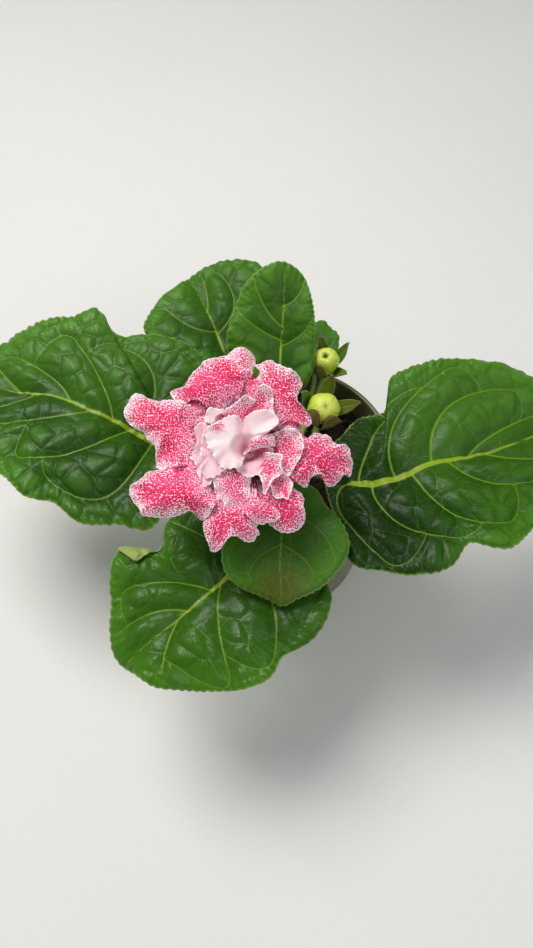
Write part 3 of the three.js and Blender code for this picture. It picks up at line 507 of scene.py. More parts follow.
LEAVES = {
    # facing, pitch and roll turn the blade. rim gives its radii every 15 degrees from the tip round
    # by its left. A vein is (start u, middle u, middle v, end u, end v), u along the midrib and v to
    # its left. A bump is (degrees round the rim, height, half width in degrees). A wave is (height,
    # count, phase). A crease steps the blade down towards its base, and tucks it under by `tuck`. A
    # flap is a corner that folds back from the line between its ends. veining is how deep the veins
    # are sunk, and quilt how high the blade swells between them.
    # The finish paints one half of a blade lighter as painted light, the tops of its swells lighter as a
    # painted highlight (light gives how much), and its base darker as painted shade.
    "leaf_left": leaf_of(
        at=(-109, 12, 128), facing=159, pitch=4, roll=-8,
        rim=(80, 76, 67, 59, 52, 50, 53, 52, 63, 66, 71, 58,
            55, 57, 64, 73, 68, 61, 52, 59, 57, 60, 64, 70),
        bumps=((144, 6, 8), (283, 4, 5)), valley=6, arch=5, droop=5, waves=((2.5, 5, 0.6), (1.2, 9, 2)),
        veins=((-19, -6, -17, 18, -36), (6, 19, -10, 44, -19), (-6, 4, 9, 28, 20),
            (-29, -12, 22, 10, 35), (-42, -36, 36, -10, 42), (-34, -32, -30, -14, -44),
            (26, 36, 9, 56, 20), (34, 46, -7, 62, -14)),
        crease={"ends": ((12, -55), (-32, -20)), "fall": 4, "run": 4, "fade": (6, 30), "tuck": 1.5},
        midrib=((-46, 0), (-37, -0.7), (-19, -3), (-6, -3), (9, -4), (28, -1.4), (43, 1.5), (75, 0)),
        petiole=((-9, 0, 89), (-20, -2, 103), (-42, -6, 119)), foot=-46, rib=1.5, stem=2.6, quilt=1.5,
        veining=1.4, gloss=0.36, light=0.55, deep=0.35, bright=-1, seed=11),
    "leaf_right": leaf_of(
        at=(72, -23, 130), facing=20, pitch=3, roll=8,
        rim=(85, 86, 80, 68, 61, 55, 51, 43, 46, 47, 52, 52,
            53, 55, 65, 59, 56, 52, 43, 54, 56, 59, 65, 75),
        valley=6, arch=4, droop=5, waves=((2.5, 5, 2.2), (1, 9, 0.5)),
        veins=((-18, -8, 27, 30, 46), (1, 20, 26, 58, 28), (-30, -29, -20, -8, -37),
            (-10, -2, -26, 18, -39), (9, 22, -16, 42, -23), (-42, -50, -16, -42, -36),
            (-36, -26, 24, -12, 36), (20, 38, 8, 66, 10), (30, 46, -9, 68, -16)),
        crease={"ends": ((1, 53), (-21, 11)), "fall": 8, "run": 4, "fade": (4, 26), "tuck": 5},
        midrib=((-48, 11), (-44, 9.5), (-36, 5), (-28, 1.5), (-15, 0), (0, 1), (20, -1.6), (40, -2.6),
            (80, 0)),
        petiole=((8, -6, 90), (14, -13, 106), (21, -23, 120)), foot=-42, rib=2.1, stem=2.6, quilt=1.5,
        veining=1.4, gloss=0.36, light=0.35, deep=0.9, bright=1, seed=12),
    "leaf_back_left": leaf_of(
        at=(-46, 78, 122), facing=112, pitch=14, roll=-4,
        rim=(32, 29, 30, 30, 32, 34, 33, 32, 31, 31, 32, 31,
            32, 33, 35, 36, 38, 40, 44, 48, 49, 44, 41, 37),
        valley=5, arch=4, droop=4, waves=((1.5, 5, 0), (0.8, 8, 1)),
        veins=((-9, 4, -18, 26, -18), (-7, -1, 12, 16, 20), (6, 14, -4, 30, -8)),
        midrib=((-24, -5), (-5, -5.4), (18, -3.8), (32, -2)),
        petiole=((-6, 7, 89), (-14, 20, 102), (-28, 41, 111)), foot=-24, rib=1.1, stem=2.2, quilt=1.4,
        veining=1, gloss=0.42, light=0.5, deep=0.2, seed=13),
    "leaf_top": leaf_of(
        at=(-2, 58, 148), facing=90, pitch=44, roll=-6,
        rim=(29, 28, 27, 26, 25, 25, 26, 29, 33, 34, 36, 38,
            43, 41, 34, 26, 21, 19, 18, 18, 19, 21, 24, 27),
        valley=4, arch=3, droop=3, waves=((1.2, 4, 0.5), (0.7, 7, 2)),
        veins=((-15, -7, -12, 6, -18), (-5, 6, 10, 22, 16), (-12, -6, 12, 2, 22), (6, 12, -8, 24, -12)),
        midrib=((-36, 1), (-18, 0), (5, -1.5), (27, -2)),
        petiole=((-1, 6, 93), (-2, 15, 106), (-2, 24, 117)), foot=-36, rib=1, stem=2, quilt=1.1,
        veining=0.8, gloss=0.46, light=0.55, deep=0.1, seed=14),
    "leaf_front": leaf_of(
        at=(-2, -68, 135), facing=270, pitch=-12, roll=0,
        rim=(27, 25, 25, 26, 27, 29, 31, 30, 29, 29, 33, 34,
            35, 33, 32, 31, 29, 28, 28, 29, 29, 27, 25, 25),
        valley=1, arch=14, droop=4, waves=((1, 4, 0.3), (0.6, 7, 1)),
        veins=((-14, -10, 14, 4, 24), (-14, -10, -14, 4, -24), (0, 8, 12, 16, 14),
            (0, 8, -12, 16, -14)),
        midrib=((-32, 0), (0, -0.8), (8, -1.4), (25, -0.4)),
        petiole=((1, -6, 92), (1, -14, 110), (0, -27, 126)), foot=-32, rib=0.9, stem=2, quilt=0.4,
        veining=0.3, gloss=0.42, light=0.3, bronze=0.6, vein=0.45, deep=0.2, seed=15),
    "leaf_front_left": leaf_of(
        at=(-37, -90, 114), facing=222, pitch=-4, roll=-4,
        rim=(45, 43, 39, 38, 39, 42, 44, 42, 51, 57, 58, 45,
            40, 39, 42, 48, 52, 48, 37, 51, 50, 47, 48, 49),
        valley=5, arch=5, droop=8, waves=((1.8, 5, 1), (1, 9, 0)),
        veins=((-12, 2, 14, 12, 30), (-24, -24, 20, -8, 38), (14, 24, 6, 34, 14), (-6, 4, -16, 20, -30),
            (8, 22, -12, 40, -16), (-26, -22, -22, -14, -44)),
        flap={"ends": ((16, -56), (-3, -38)), "tip": (12, -38), "lift": 4},
        midrib=((-30, -4), (-15, -5.2), (0, -4.6), (20, -5.8), (44, -8)),
        petiole=((-4, -8, 88), (-7, -22, 103), (-12, -48, 114)), foot=-30, rib=1.5, stem=2.4, quilt=1.5,
        veining=1.3, gloss=0.3, light=0.12, deep=0.35, seed=16),
    "leaf_small_back": leaf_of(
        at=(20, 66, 116), facing=78, pitch=18, roll=0,
        rim=(17, 15, 14, 14, 13, 12, 12, 12, 13, 14, 15, 15,
            15, 15, 15, 14, 13, 12, 12, 12, 13, 14, 14, 15),
        valley=2, arch=4, droop=2, waves=((0.8, 4, 0.5), (0.4, 7, 1)),
        veins=((-6, -2, 6, 5, 9), (-6, -2, -6, 5, -9)),
        midrib=((-12, 0), (0, 0.6), (16, 0)), petiole=((5, 8, 89), (10, 20, 104), (17, 40, 113)),
        foot=-12, rib=0.7, stem=1.5, quilt=0.6, veining=0.4, gloss=0.45, light=0.3, deep=0.2, seed=17),
}


def ease_between(x, low, high):
    """Goes smoothly from 0 to 1 as x goes from low to high."""
    t = np.clip((x - low) / (high - low), 0, 1)
    return t * t * (3 - 2 * t)


def hump(x, width):
    """A smooth hump, 1 where x is 0, whose value has fallen to a third at `width`."""
    return np.exp(-((x / width) ** 2))


def ring_value(radii, angle):
    """Value at an angle of a smooth closed curve through equally spaced radii."""
    radii = np.array(radii, float)
    x = np.mod(angle, 2 * np.pi) / (2 * np.pi) * len(radii)
    i = np.floor(x).astype(int)
    t = x - i
    a, b, c, d = (radii[(i + k) % len(radii)] for k in (-1, 0, 1, 2))
    return b + 0.5 * t * (c - a + t * (2 * a - 5 * b + 4 * c - d + t * (3 * (b - c) + d - a)))


def leaf_axes(leaf):
    """Directions along the blade to its tip, to its left and out of its upper side."""
    facing, pitch, roll = (math.radians(angle) for angle in (leaf.facing, leaf.pitch, leaf.roll))
    u = np.array([*polar(math.cos(pitch), facing), math.sin(pitch)])
    level = np.array([-math.sin(facing), math.cos(facing), 0])
    v = level * math.cos(roll) + np.cross(u, level) * math.sin(roll)
    return u, v, np.cross(u, v)


def bow(start, middle, end):
    """Points of the bow from start to end that passes through the middle."""
    start, middle, end = (np.array(place, float) for place in (start, middle, end))
    t = np.linspace(0, 1, BOW_STEPS + 1)[:, None]
    pull = 2 * middle - 0.5 * (start + end)
    return (1 - t) ** 2 * start + 2 * t * (1 - t) * pull + t**2 * end


def vein_lines(leaf):
    """The side veins, and the loops that join each one's end to the next, with their half widths."""
    lines = []
    for side in (1, -1):
        ordered = sorted(vein for vein in leaf.veins if vein[2] * side > 0)
        bows = [bow((vein[0], 0), vein[1:3], vein[3:5]) for vein in ordered]
        lines += [(line, VEIN_START * leaf.stem, VEIN_END * leaf.stem) for line in bows]
        for line, ahead in zip(bows, bows[1:]):
            start, end = line[-1], ahead[JOIN_STEP]
            gap = np.linalg.norm(end - start)
            if gap < 0.6 * leaf.rim[0]:
                middle = 0.25 * (start + end) + 0.5 * (start + 0.6 * gap * unit(start - line[-2]))
                lines.append((bow(start, middle, end), VEIN_END * leaf.stem, LOOP_END * leaf.stem))
    return lines


def near_line(line, u, v):
    """Distance to a line of points, negative on its right, and how far along the nearest spot is."""
    best, where = np.full(u.shape, 1e9), np.zeros(u.shape)
    for k, (a, b) in enumerate(zip(line[:-1], line[1:])):
        way = b - a
        t = np.clip(((u - a[0]) * way[0] + (v - a[1]) * way[1]) / (way @ way), 0, 1)
        off_u, off_v = u - a[0] - t * way[0], v - a[1] - t * way[1]
        gap = np.where(way[0] * off_v < way[1] * off_u, -1, 1) * np.hypot(off_u, off_v)
        closer = np.abs(gap) < np.abs(best)
        best = np.where(closer, gap, best)
        where = np.where(closer, (k + t) / (len(line) - 1), where)
    return best, where


def net_distance(u, v, spacing, seed):
    """Distance to the nearest vein of a random net whose meshes are `spacing` across."""
    draw = np.random.default_rng(seed)
    reach = 110
    grid = np.arange(-reach, reach, spacing)
    seeds = np.stack(np.meshgrid(grid, grid), axis=-1).reshape(-1, 2)
    seeds = seeds + draw.uniform(-0.42, 0.42, seeds.shape) * spacing
    bent_u = u + 0.12 * spacing * np.sin(v / spacing * 2.1 + seed)
    bent_v = v + 0.12 * spacing * np.sin(u / spacing * 1.9 + 2 * seed)
    inside = np.abs(seeds) < max(np.abs(u).max(), np.abs(v).max()) + 2 * spacing
    seeds = seeds[inside.all(axis=1)]
    gaps = np.hypot(bent_u[:, None] - seeds[:, 0], bent_v[:, None] - seeds[:, 1])
    nearest = np.argpartition(gaps, 2, axis=1)[:, :2]
    first, second = np.take_along_axis(gaps, nearest, axis=1).T
    apart = np.linalg.norm(seeds[nearest[:, 0]] - seeds[nearest[:, 1]], axis=1)
    return np.abs(second**2 - first**2) / (2 * apart)


def off_midrib(leaf, u, v):
    """How far a point lies to the left of the curved midrib, which bends the veins near it along."""
    line = smooth_path(leaf.midrib, 80)
    return v - np.interp(u, line[:, 0], line[:, 1]) * hump(v, 25)


def crease_step(crease, u, v):
    """How far the blade falls past its crease, and the shift in u and v that tucks it under."""
    (au, av), (bu, bv) = crease["ends"]
    du, dv = bu - au, bv - av
    side, length = np.sign(av), math.hypot(du, dv)
    into = -side * ((v - av) * du - (u - au) * dv) / length
    fade = ease_between(side * v, *crease["fade"])
    fall = crease["fall"] * ease_between(into, -1, crease["run"]) * fade
    tuck = crease["tuck"] * ease_between(into, 0, 3) * (1 - ease_between(into, 4, 26)) * fade
    return fall, -tuck * side * dv / length, tuck * side * du / length


def rib_width(leaf, u):
    """Half the midrib's width on top of the blade."""
    t = np.clip((u - leaf.foot) / (0.95 * leaf.rim[0] - leaf.foot), 0, 1)
    return leaf.rib * (0.14 + 0.86 * (1 - t) ** 1.5)


def blade_surface(leaf, share, turn):
    """Points of the blade's middle surface, and the values that its finish reads."""
    scallops = round(2 * np.pi * np.mean(leaf.rim) / SCALLOP_LENGTH)
    bite = SCALLOP_DEPTH * (np.abs(np.sin(0.5 * scallops * turn + np.sin(3 * turn))) - 0.6)
    outline = ring_value(leaf.rim, turn) + bite * (1 - np.exp(-((share / 0.5) ** 4)))
    for degrees, height, width in leaf.bumps:
        outline += height * share**3 * hump(np.degrees(turn) - degrees, width)
    u, flat_v = polar(share * outline, turn)
    v = off_midrib(leaf, u, flat_v)

    # The whole blade: its valley, arch, drooping tip and waved edge.
    h = leaf.valley * (1 - np.exp(-np.abs(v) / VALLEY_WIDTH)) - leaf.arch * (u / 50) ** 2
    h -= leaf.droop * (0.35 + 0.325 * (1 + np.cos(turn))) * share**3
    for height, count, phase in leaf.waves:
        h += height * share**3 * np.sin(count * turn + phase)

    # The sunken side veins. The loops between them are sunk less, and each fades to its end.
    side, side_half, nearest = np.full(u.shape, FAR), np.zeros(u.shape), np.full(u.shape, FAR)
    for line, thick, thin in vein_lines(leaf):
        gap, along = near_line(line, u, v)
        closer = np.abs(gap) < np.abs(side)
        side = np.where(closer, gap, side)
        side_half = np.where(closer, thick + (thin - thick) * along, side_half)
        fainter = 2 * (thick < VEIN_START * leaf.stem)
        nearest = np.minimum(nearest, np.hypot(gap, 0.5) + fainter + 3 * along**4)
    hollow = np.exp(-nearest / VEIN_WIDTH)
    h -= leaf.veining * VEIN_DEPTH * (hollow - 0.3) * ease_between(share, 0, 0.3)

    # The swells between the veins' finer net.
    net = net_distance(u, v, NET_SPACING, leaf.seed)
    fine_net = net_distance(u, v, FINE_NET_SPACING, leaf.seed + 50)
    swell = 1 - (1 - np.clip(net / (0.42 * NET_SPACING), 0, 1)) ** 2
    swell *= (1 - hollow) * ease_between(np.abs(v), 1, 9) * (0.45 + 0.75 * share)
    fine_swell = 1 - (1 - np.clip(fine_net / 2.2, 0, 1)) ** 2
    h += leaf.quilt * (swell - 0.4 + 0.1 * fine_swell)

    # The midrib, and the edge that turns down.
    rib = rib_width(leaf, u)
    past_foot = ease_between(u, leaf.foot - 4, leaf.foot + 7)
    h += 0.7 * rib * hump(v, 1.1 * rib) * past_foot
    h -= 0.9 * ease_between(share, 0.93, 1) + 0.4 * share**8 * np.sin(scallops * turn)
    fields = {
        "rib": (rib - np.abs(v)) * past_foot - (1 - past_foot),
        "side": side, "side_gap": np.abs(side), "side_half": side_half,
        "net": -net, "fine_net": -fine_net, "margin": (1 - share) * outline, "swell": swell,
        "flush": hump(u - 20, 12) * hump(v, 16),
        # The blade is painted darker towards its base, as painted shade.
        "deep": leaf.deep * ease_between(u, 12, 0.8 * leaf.foot),
        # One half of the blade is painted lighter, as painted light from above and behind.
        "bright": ease_between(leaf.bright * v, -25, 35),
    }
    v = flat_v
    if leaf.crease:
        fall, du, dv = crease_step(leaf.crease, u, v)
        h, u, v = h - fall, u + du, v + dv
    return np.array(leaf.at) + columns(u, v, h) @ np.array(leaf_axes(leaf)), fields


def point_normals(points, faces):
    """The average direction that the faces round each point look in."""
    a, b, c = (points[faces[:, k]] for k in range(3))
    looks = np.repeat(np.cross(b - a, c - a), 3, axis=0)
    return unit(columns(*(np.bincount(faces.ravel(), look, len(points)) for look in looks.T)))


def thin_body(points, faces, border, half, fields, finish=0):
    """Gives a surface a thickness of twice `half` and closes it round its border."""
    count = len(points)
    rise = point_normals(points, faces) * np.broadcast_to(half, count)[:, None]
    nexts = np.roll(border, -1)
    edge = [columns(border, border + count, nexts + count), columns(border, nexts + count, nexts)]
    whole = np.concatenate([faces, faces[:, ::-1] + count, *edge])
    doubled = {key: np.tile(np.broadcast_to(value, count), 2) for key, value in fields.items()}
    under = np.repeat([0.0, 1.0], count)
    return part_of(np.concatenate([points + rise, points - rise]), whole.tolist(), finish,
                   **doubled, under=under)


def hairs(draw, roots, outward, count, spread, lengths, width, finish=2):
    """Fine three-sided hairs on `count` of the roots, each pointing about outward."""
    picks = draw.integers(0, len(roots), count)
    ways = unit(outward[picks] + draw.normal(0, spread, (count, 3)))
    side = unit(np.cross(ways, [0.36, 0.48, 0.8]))
    other = np.cross(ways, side)
    foot = roots[picks]
    corners = [foot + width * (math.cos(a) * side + math.sin(a) * other) for a in (0, 2.09, 4.19)]
    tips = foot + ways * draw.uniform(*lengths, (count, 1))
    start = 4 * np.arange(count)[:, None]
    faces = np.concatenate([start + f for f in ((0, 1, 3), (1, 2, 3), (2, 0, 3), (0, 2, 1))])
    return part_of(np.stack(corners + [tips], axis=1).reshape(-1, 3), faces.tolist(), finish)


def stem_hairs(draw, path, stem_points, rings, sides, lengths):
    """Hairs all round the first rings of a stem."""
    roots = stem_points[: rings * sides]
    outward = unit(roots - np.repeat(path[:rings], sides, axis=0))
    return hairs(draw, roots, outward, STEM_HAIRS, spread=0.25, lengths=lengths, width=0.04)


def sheet_grid(across, along):
    """Shares -1 to 1 across and 0 to 1 along of a sheet, its triangles and its border."""
    s, t = np.meshgrid(np.linspace(-1, 1, across + 1), np.linspace(0, 1, along + 1))
    row = across + 1
    a = (np.arange(along)[:, None] * row + np.arange(across)).ravel()
    faces = np.concatenate([columns(a, a + 1, a + row + 1), columns(a, a + row + 1, a + row)])
    i, j = np.arange(across), np.arange(along)
    border = np.concatenate([i, j * row + across, along * row + across - i, (along - j) * row])
    return s.ravel(), t.ravel(), faces, border


def folded_corner(leaf):
    """The blade's corner, folded back over it with its pale underside up."""
    start, end, tip = np.array([*leaf.flap["ends"], leaf.flap["tip"]], float)
    s, t, faces, border = sheet_grid(FLAP_STEPS, FLAP_STEPS)
    s = 0.5 + 0.5 * s
    along = 0.5 + (s - 0.5) * (1 - 0.96 * t**1.1)
    u, v = (start + np.outer(along, end - start) + np.outer(t, tip - 0.5 * (start + end))).T
    turn = np.arctan2(v, u)
    blade, _ = blade_surface(leaf, np.clip(np.hypot(u, v) / ring_value(leaf.rim, turn), 0, 1), turn)
    curl = 0.5 + leaf.flap["lift"] * np.sqrt(t) * (1 - 0.3 * t) + 0.3 * np.sin(9 * s + 4 * t)
    fields = {"margin": 9, "side": 9, "side_gap": 9, "net": -9, "fine_net": -9, "rib": -9}
    points = blade + np.outer(curl, leaf_axes(leaf)[2])
    folded = thin_body(points, faces, border, 0.5 * FLAP_THICKNESS, fields)
    folded.fields["under"][:] = 1.0
    return folded


def petiole_path(leaf):
    """From the crown to the blade's foot and on below the blade as its midrib."""
    shares = np.linspace(0, 1, 12)
    u = leaf.foot + (RIB_REACH * leaf.rim[0] - leaf.foot) * shares
    v = -off_midrib(leaf, u, 0 * u)
    turn = np.arctan2(v, u)
    blade, _ = blade_surface(leaf, np.hypot(u, v) / ring_value(leaf.rim, turn), turn)
    drop = 0.7 * rib_width(leaf, u) + (1 - shares) * RIB_DEPTH + shares * RIB_END
    return smooth_path([*leaf.petiole, *(blade - np.outer(drop, leaf_axes(leaf)[2]))], PETIOLE_STEPS)


def leaf_parts(leaf):
    """The blade, the petiole that runs on as its midrib, their hairs and a folded corner."""
    draw = np.random.default_rng(leaf.seed)
    radius = np.mean(leaf.rim)
    rim = 16 * round(2 * np.pi * radius / BLADE_SPACING / 16)
    share, turn, faces, border = round_grid(round(1.1 * radius / BLADE_SPACING), rim)
    points, fields = blade_surface(leaf, share, turn)
    half = 0.5 * BLADE_THICKNESS * (1 - 0.55 * ease_between(share, 0.93, 1))
    path = petiole_path(leaf)
    along = np.linspace(0, 1, len(path))
    radii = (leaf.stem + (RIB_END - leaf.stem) * along) * (1 + 0.04 * np.sin(40 * along))
    stem_points, stem_faces = tube(path, radii, PETIOLE_SIDES)
    stem_along = [*np.repeat(along, PETIOLE_SIDES), 0, 1]
    looks = point_normals(points, faces)
    out = unit(points[border] - np.array(leaf.at)) + 0.5 * looks[border]
    parts = [
        thin_body(points, faces, border, half, fields),
        part_of(stem_points, stem_faces, 1, along=stem_along),
        hairs(draw, points[border], out, round(FRINGE_HAIRS * radius),
              spread=0.35, lengths=(0.3, 0.8), width=0.035),
        hairs(draw, points + 0.2 * looks, looks, round(DOWN_HAIRS * radius),
              spread=0.4, lengths=(0.4, 0.9), width=0.03),
        stem_hairs(draw, path, stem_points, 50, PETIOLE_SIDES, lengths=(0.5, 1.4)),
    ]
    return parts + [folded_corner(leaf)] if leaf.flap else parts


def maths(operation, a, b=0.0):
    """Works out the operation on two values, of which at least one comes from a node."""
    near = a if isinstance(a, bpy.types.NodeSocket) else b
    return add_node(near, "Math", {0: a, 1: b}, operation=operation).outputs[0]


def blade_finish(name, leaf):
    """Deep green leaf skin with yellow-green veins, pale below, with painted light and shade. `leaf.vein`
    is how clear the veins are.
    """
    made, shader, at = start_finish(name, leaf.gloss, 0.22)
    swell, margin, under, side, side_half, side_gap, rib = (
        field(at, value) for value in ("swell", "margin", "under", "side", "side_half", "side_gap", "rib")
    )
    patches = ease(cloud(at, 0.03, 3.0), 0.3, 0.7)
    flush = [(ease(field(at, "flush"), 0.05, 1.0, 0, leaf.bronze), (84, 72, 26))] if leaf.bronze else []
    below = tint(cloud(at, 0.08, 3.0), (134, 154, 80), (160, 176, 102))
    fine = ease(field(at, "fine_net"), -0.4, -0.05, 0, 0.1)
    net = ease(field(at, "net"), -0.45, -0.05, 0, 0.26)
    inside = maths("SUBTRACT", side_half, maths("ABSOLUTE", side))
    side_vein = maths("MULTIPLY", ease(inside, -0.3, 0.15, 0, 0.6 * leaf.vein), ease(side_gap, 2.4, 1.2))
    shade = tint(
        patches, (26, 66, 0), (46, 90, 2),
        # Painted light: one half of the blade is lighter.
        (maths("MULTIPLY", field(at, "bright"), 0.3), (92, 142, 44)),
        # Painted highlight: the tops of the swells are lighter, by the leaf's light.
        (ease(swell, 0.1, 1.0, 0, leaf.light), (88, 138, 44)),
        (ease(margin, 14.0, 1.0, 0, 0.45), (78, 136, 22)),
        (ease(cloud(at, 0.9, 4.0), 0.4, 0.8, 0, 0.2), (66, 116, 20)),
        *flush,
        # Painted shade: the blade is darker towards its base.
        (field(at, "deep"), (14, 42, 0)),
        (under, below),
        (maths("MAXIMUM", fine, net), (104, 146, 24)),
        (side_vein, (120, 156, 26)),
        (ease(rib, -0.3, 0.4, 0, 0.9 * math.sqrt(leaf.vein)), (142, 168, 38)),
        (ease(margin, 0.9, 0.2, 0, 0.7), (138, 168, 82)),
    )
    mottled = ease(cloud(at, 0.25, 4.0), 0.3, 0.7, leaf.gloss - 0.05, leaf.gloss + 0.09)
    rough_below = maths("ADD", mottled, maths("MULTIPLY", under, 0.3))
    made.node_tree.links.new(rough_below, shader.inputs["Roughness"])
    cells = add_node(at, "TexVoronoi", {"Vector": at, "Scale": 0.8}, feature="DISTANCE_TO_EDGE")
    pebbles = ease(cells.outputs["Distance"], 0.0, 0.4)
    coat(shader, shade, maths("ADD", pebbles, maths("MULTIPLY", cloud(at, 2.5, 3.0), 0.5)), 0.04)
    return made


petiole_finish, shader, at = start_finish("petiole_skin", 0.5)
near_crown = ease(field(at, "along"), 0.25, 0.0)
shade = tint(cloud(at, 0.3, 4.0), (122, 146, 52), (158, 178, 78), (near_crown, (120, 104, 52)))
coat(shader, shade, cloud(at, 1.8, 4.0), 0.12)

hair_finish, shader, at = start_finish("plant_hair", 0.5)
coat(shader, tint(cloud(at, 0.5), (170, 192, 128), (206, 218, 176)))

for leaf_name, leaf in LEAVES.items():
    skins = [blade_finish(leaf_name + "_skin", leaf), petiole_finish, hair_finish]
    make_piece(leaf_name + "_blade", leaf_parts(leaf), skins, "leaf", leaf_name)

# ---- the bloom's petals ----
# A double bloom. Its corolla is a bell-shaped tube that opens into nine ruffled lobes, crimson with
# white netting and a white crimped hem. More petals of the same kind and a tight cluster of blush
# ones fill its throat, each narrowing to a claw that runs down into the tube.
FLOWER_AT = np.array([-20.0, -36.0, 166.0])
FLOWER_LIFT = math.radians(66)
FLOWER_AXES = np.array([[1, 0, 0], [0, math.sin(FLOWER_LIFT), math.cos(FLOWER_LIFT)],
                        [0, -math.cos(FLOWER_LIFT), math.sin(FLOWER_LIFT)]])
TUBE_LENGTH = 34
TUBE_SHARE = 0.55  # of the corolla's mesh, from its middle, that is the tube
TUBE_HEM = 12.0  # how far from a hem the tube's skin counts as
TUBE_RINGS = 52
TUBE_RIM = 320
THROAT_RADIUS = 15
BELL_SHARES = np.linspace(0, 1, 200)
BELL_RADII = THROAT_RADIUS * np.minimum(1, 4 * BELL_SHARES + 0.01) * (
    0.42 * np.sqrt(np.minimum(1, 6 * BELL_SHARES)) + 0.58 * BELL_SHARES**1.6
)
# How far the frill reaches from the axis, every 10 degrees.
FRILL = (45, 33, 32, 34, 36, 40, 41, 43, 38, 45, 41, 42, 42, 41, 39, 44, 54, 45,
         38, 40, 52, 53, 48, 37, 36, 44, 40, 39, 36, 39, 43, 39, 33, 33, 41, 48)
FRILL_SCALE = 1.03
FRILL_UNDER_LOBES = 0.84
PETAL_SPACING = 0.62
PETAL_THICKNESS = 0.45
THROAT_GRAIN = 23  # distance from the axis within which the skin's grain is stretched
OUTLINE_STEPS = 600


def in_flower(p, q, n):
    """Points from p to the right, q up the bloom's face and n out along its axis."""
    return FLOWER_AT + columns(p, q, n) @ FLOWER_AXES


def tube_height(share):
    """Height of the tube's wall at a share of its length from its foot."""
    return -TUBE_LENGTH * (1 - share**1.25)


def bell_height(radius, turn):
    """Height of the corolla at a distance from its axis."""
    in_tube = np.interp(radius, BELL_RADII, tube_height(BELL_SHARES))
    reach = FRILL_SCALE * ring_value(FRILL, turn)
    out = np.clip((radius - THROAT_RADIUS) / (reach - THROAT_RADIUS), 0, 1.1)
    frill = 7 * np.sin(0.5 * np.pi * np.minimum(1, 1.6 * out)) - 6 * out**3
    lobes = 3.2 * out**2 * np.sin(7 * turn + 0.6)
    return np.where(radius < THROAT_RADIUS, in_tube, frill + lobes)


def closed_outline(points, turn):
    """Points of a smooth closed outline at each turn, evenly spaced, and the outline's length."""
    loop = smooth_path((*points, points[0]), OUTLINE_STEPS)
    where = np.mod(turn, 2 * np.pi) / (2 * np.pi) * OUTLINE_STEPS
    length = np.linalg.norm(np.diff(loop, axis=0), axis=1).sum()
    p, q = (np.interp(where, np.arange(OUTLINE_STEPS + 1), coordinate) for coordinate in loop.T)
    return p, q, length


def grain_fields(p, q, number, inner=False):
    """Where a point lies in the skin's grain, of which each petal has its own patch.

    The outer lobes' grain is stretched along the bloom's radius in and near the throat. The inner
    petals' grain is even.
    """
    radius = np.hypot(p, q)
    out = 1.15 * radius if inner else np.maximum(radius, THROAT_GRAIN + 0.3 * (radius - THROAT_GRAIN))
    x, y = polar(out, np.arctan2(q, p))
    return {"grain_x": 200 * number + x, "grain_y": y, "radius": radius, "inner": float(inner)}


def petal_part(petal, number):
    """One petal: a ruffled sheet inside its outline, with a claw down into the throat."""
    draw = np.random.default_rng(100 + number)
    outline = np.array(petal.outline, float)
    length = np.linalg.norm(outline - np.roll(outline, 1, axis=0), axis=1).sum()
    rim = 16 * max(3, round(1.05 * length / PETAL_SPACING / 16))
    reach = np.linalg.norm(outline - petal.heart, axis=1).max()
    share, turn, faces, border = round_grid(round(reach / PETAL_SPACING), rim)
    edge_p, edge_q, length = closed_outline(petal.outline, turn)
    heart_p, heart_q = petal.heart
    width = np.hypot(edge_p - heart_p, edge_q - heart_q)

    crimps = round(length / petal.crimp_length)
    phases = draw.uniform(0, 2 * np.pi, 4)
    crimp = 2 * np.abs(np.sin(0.5 * crimps * turn + 1.5 * np.sin(3 * turn + phases[0]))) - 1.3
    if petal.plain_from is not None:
        crimp = crimp * (1 - ease_between(edge_p, petal.plain_from - 3, petal.plain_from + 3))
    scale = share * (1 + petal.crimp * crimp * share**10 / width)
    p, q = heart_p + (edge_p - heart_p) * scale, heart_q + (edge_q - heart_q) * scale
    ruffle = petal.ruffle * share**2.5 * np.sin(petal.waves * turn + phases[1])
    ruffle += 0.45 * petal.ruffle * share**4 * np.sin(round(2.3 * petal.waves) * turn + phases[2])
    ruffle += petal.hem * share**9 * np.sin(0.5 * crimps * turn + phases[3])

    inner = petal.level is not None
    if inner:
        n = petal.level + petal.slope[0] * (p - heart_p) + petal.slope[1] * (q - heart_q)
        claw = ease_between(np.hypot(p - petal.root[0], q - petal.root[1]), 0.5, petal.claw)
        n = petal.depth + (n + petal.cup * share**2 - petal.depth) * claw
    else:
        n = bell_height(np.hypot(p, q), np.arctan2(q, p)) + petal.lift + petal.cup * (share**2 - 0.4)
    if petal.channel:
        gap, _ = near_line(np.array(petal.channel[:2], float), p, q)
        n -= petal.channel[2] * hump(gap, 2.2)
    # Near the throat the lobes are joined, so they have no white hem there.
    joined = 0 if inner else 9 * ease_between(-np.hypot(p, q), -33, -23)
    fields = {"hem": (1 - share) * width + joined, "wash": petal.wash, "height": n,
              **grain_fields(p, q, number, inner)}
    if petal.blot:
        blot_p, blot_q, size = petal.blot
        fields["blot"] = np.exp(-((np.hypot(p - blot_p, q - blot_q) / size) ** 4))
    half = 0.5 * PETAL_THICKNESS * (1 - 0.5 * ease_between(share, 0.92, 1))
    return thin_body(in_flower(p, q, n + ruffle), faces, border, half, fields)


def petal_of(heart, outline, **sizes):
    """A petal's sizes, with the usual ones where none is given.

    A lobe has a lift over the corolla. An inner petal has a level, a slope, and a claw that rises
    from its root at the height `depth`. cup raises the edge over the heart. waves and ruffle shape
    the whole petal, and crimp and hem its edge, which has no crimps to the right of plain_from. A
    channel is (start, end, depth) and a blot of specks is (p, q, size). wash makes a spotted petal
    paler and a blush one pinker.
    """
    usual = {"wash": 0, "hem": 0.4, "crimp": 0.18, "crimp_length": 2.4, "level": None, "depth": -12,
             "plain_from": None, "channel": None, "blot": None}
    return SimpleNamespace(heart=heart, outline=outline, **{**usual, **sizes})


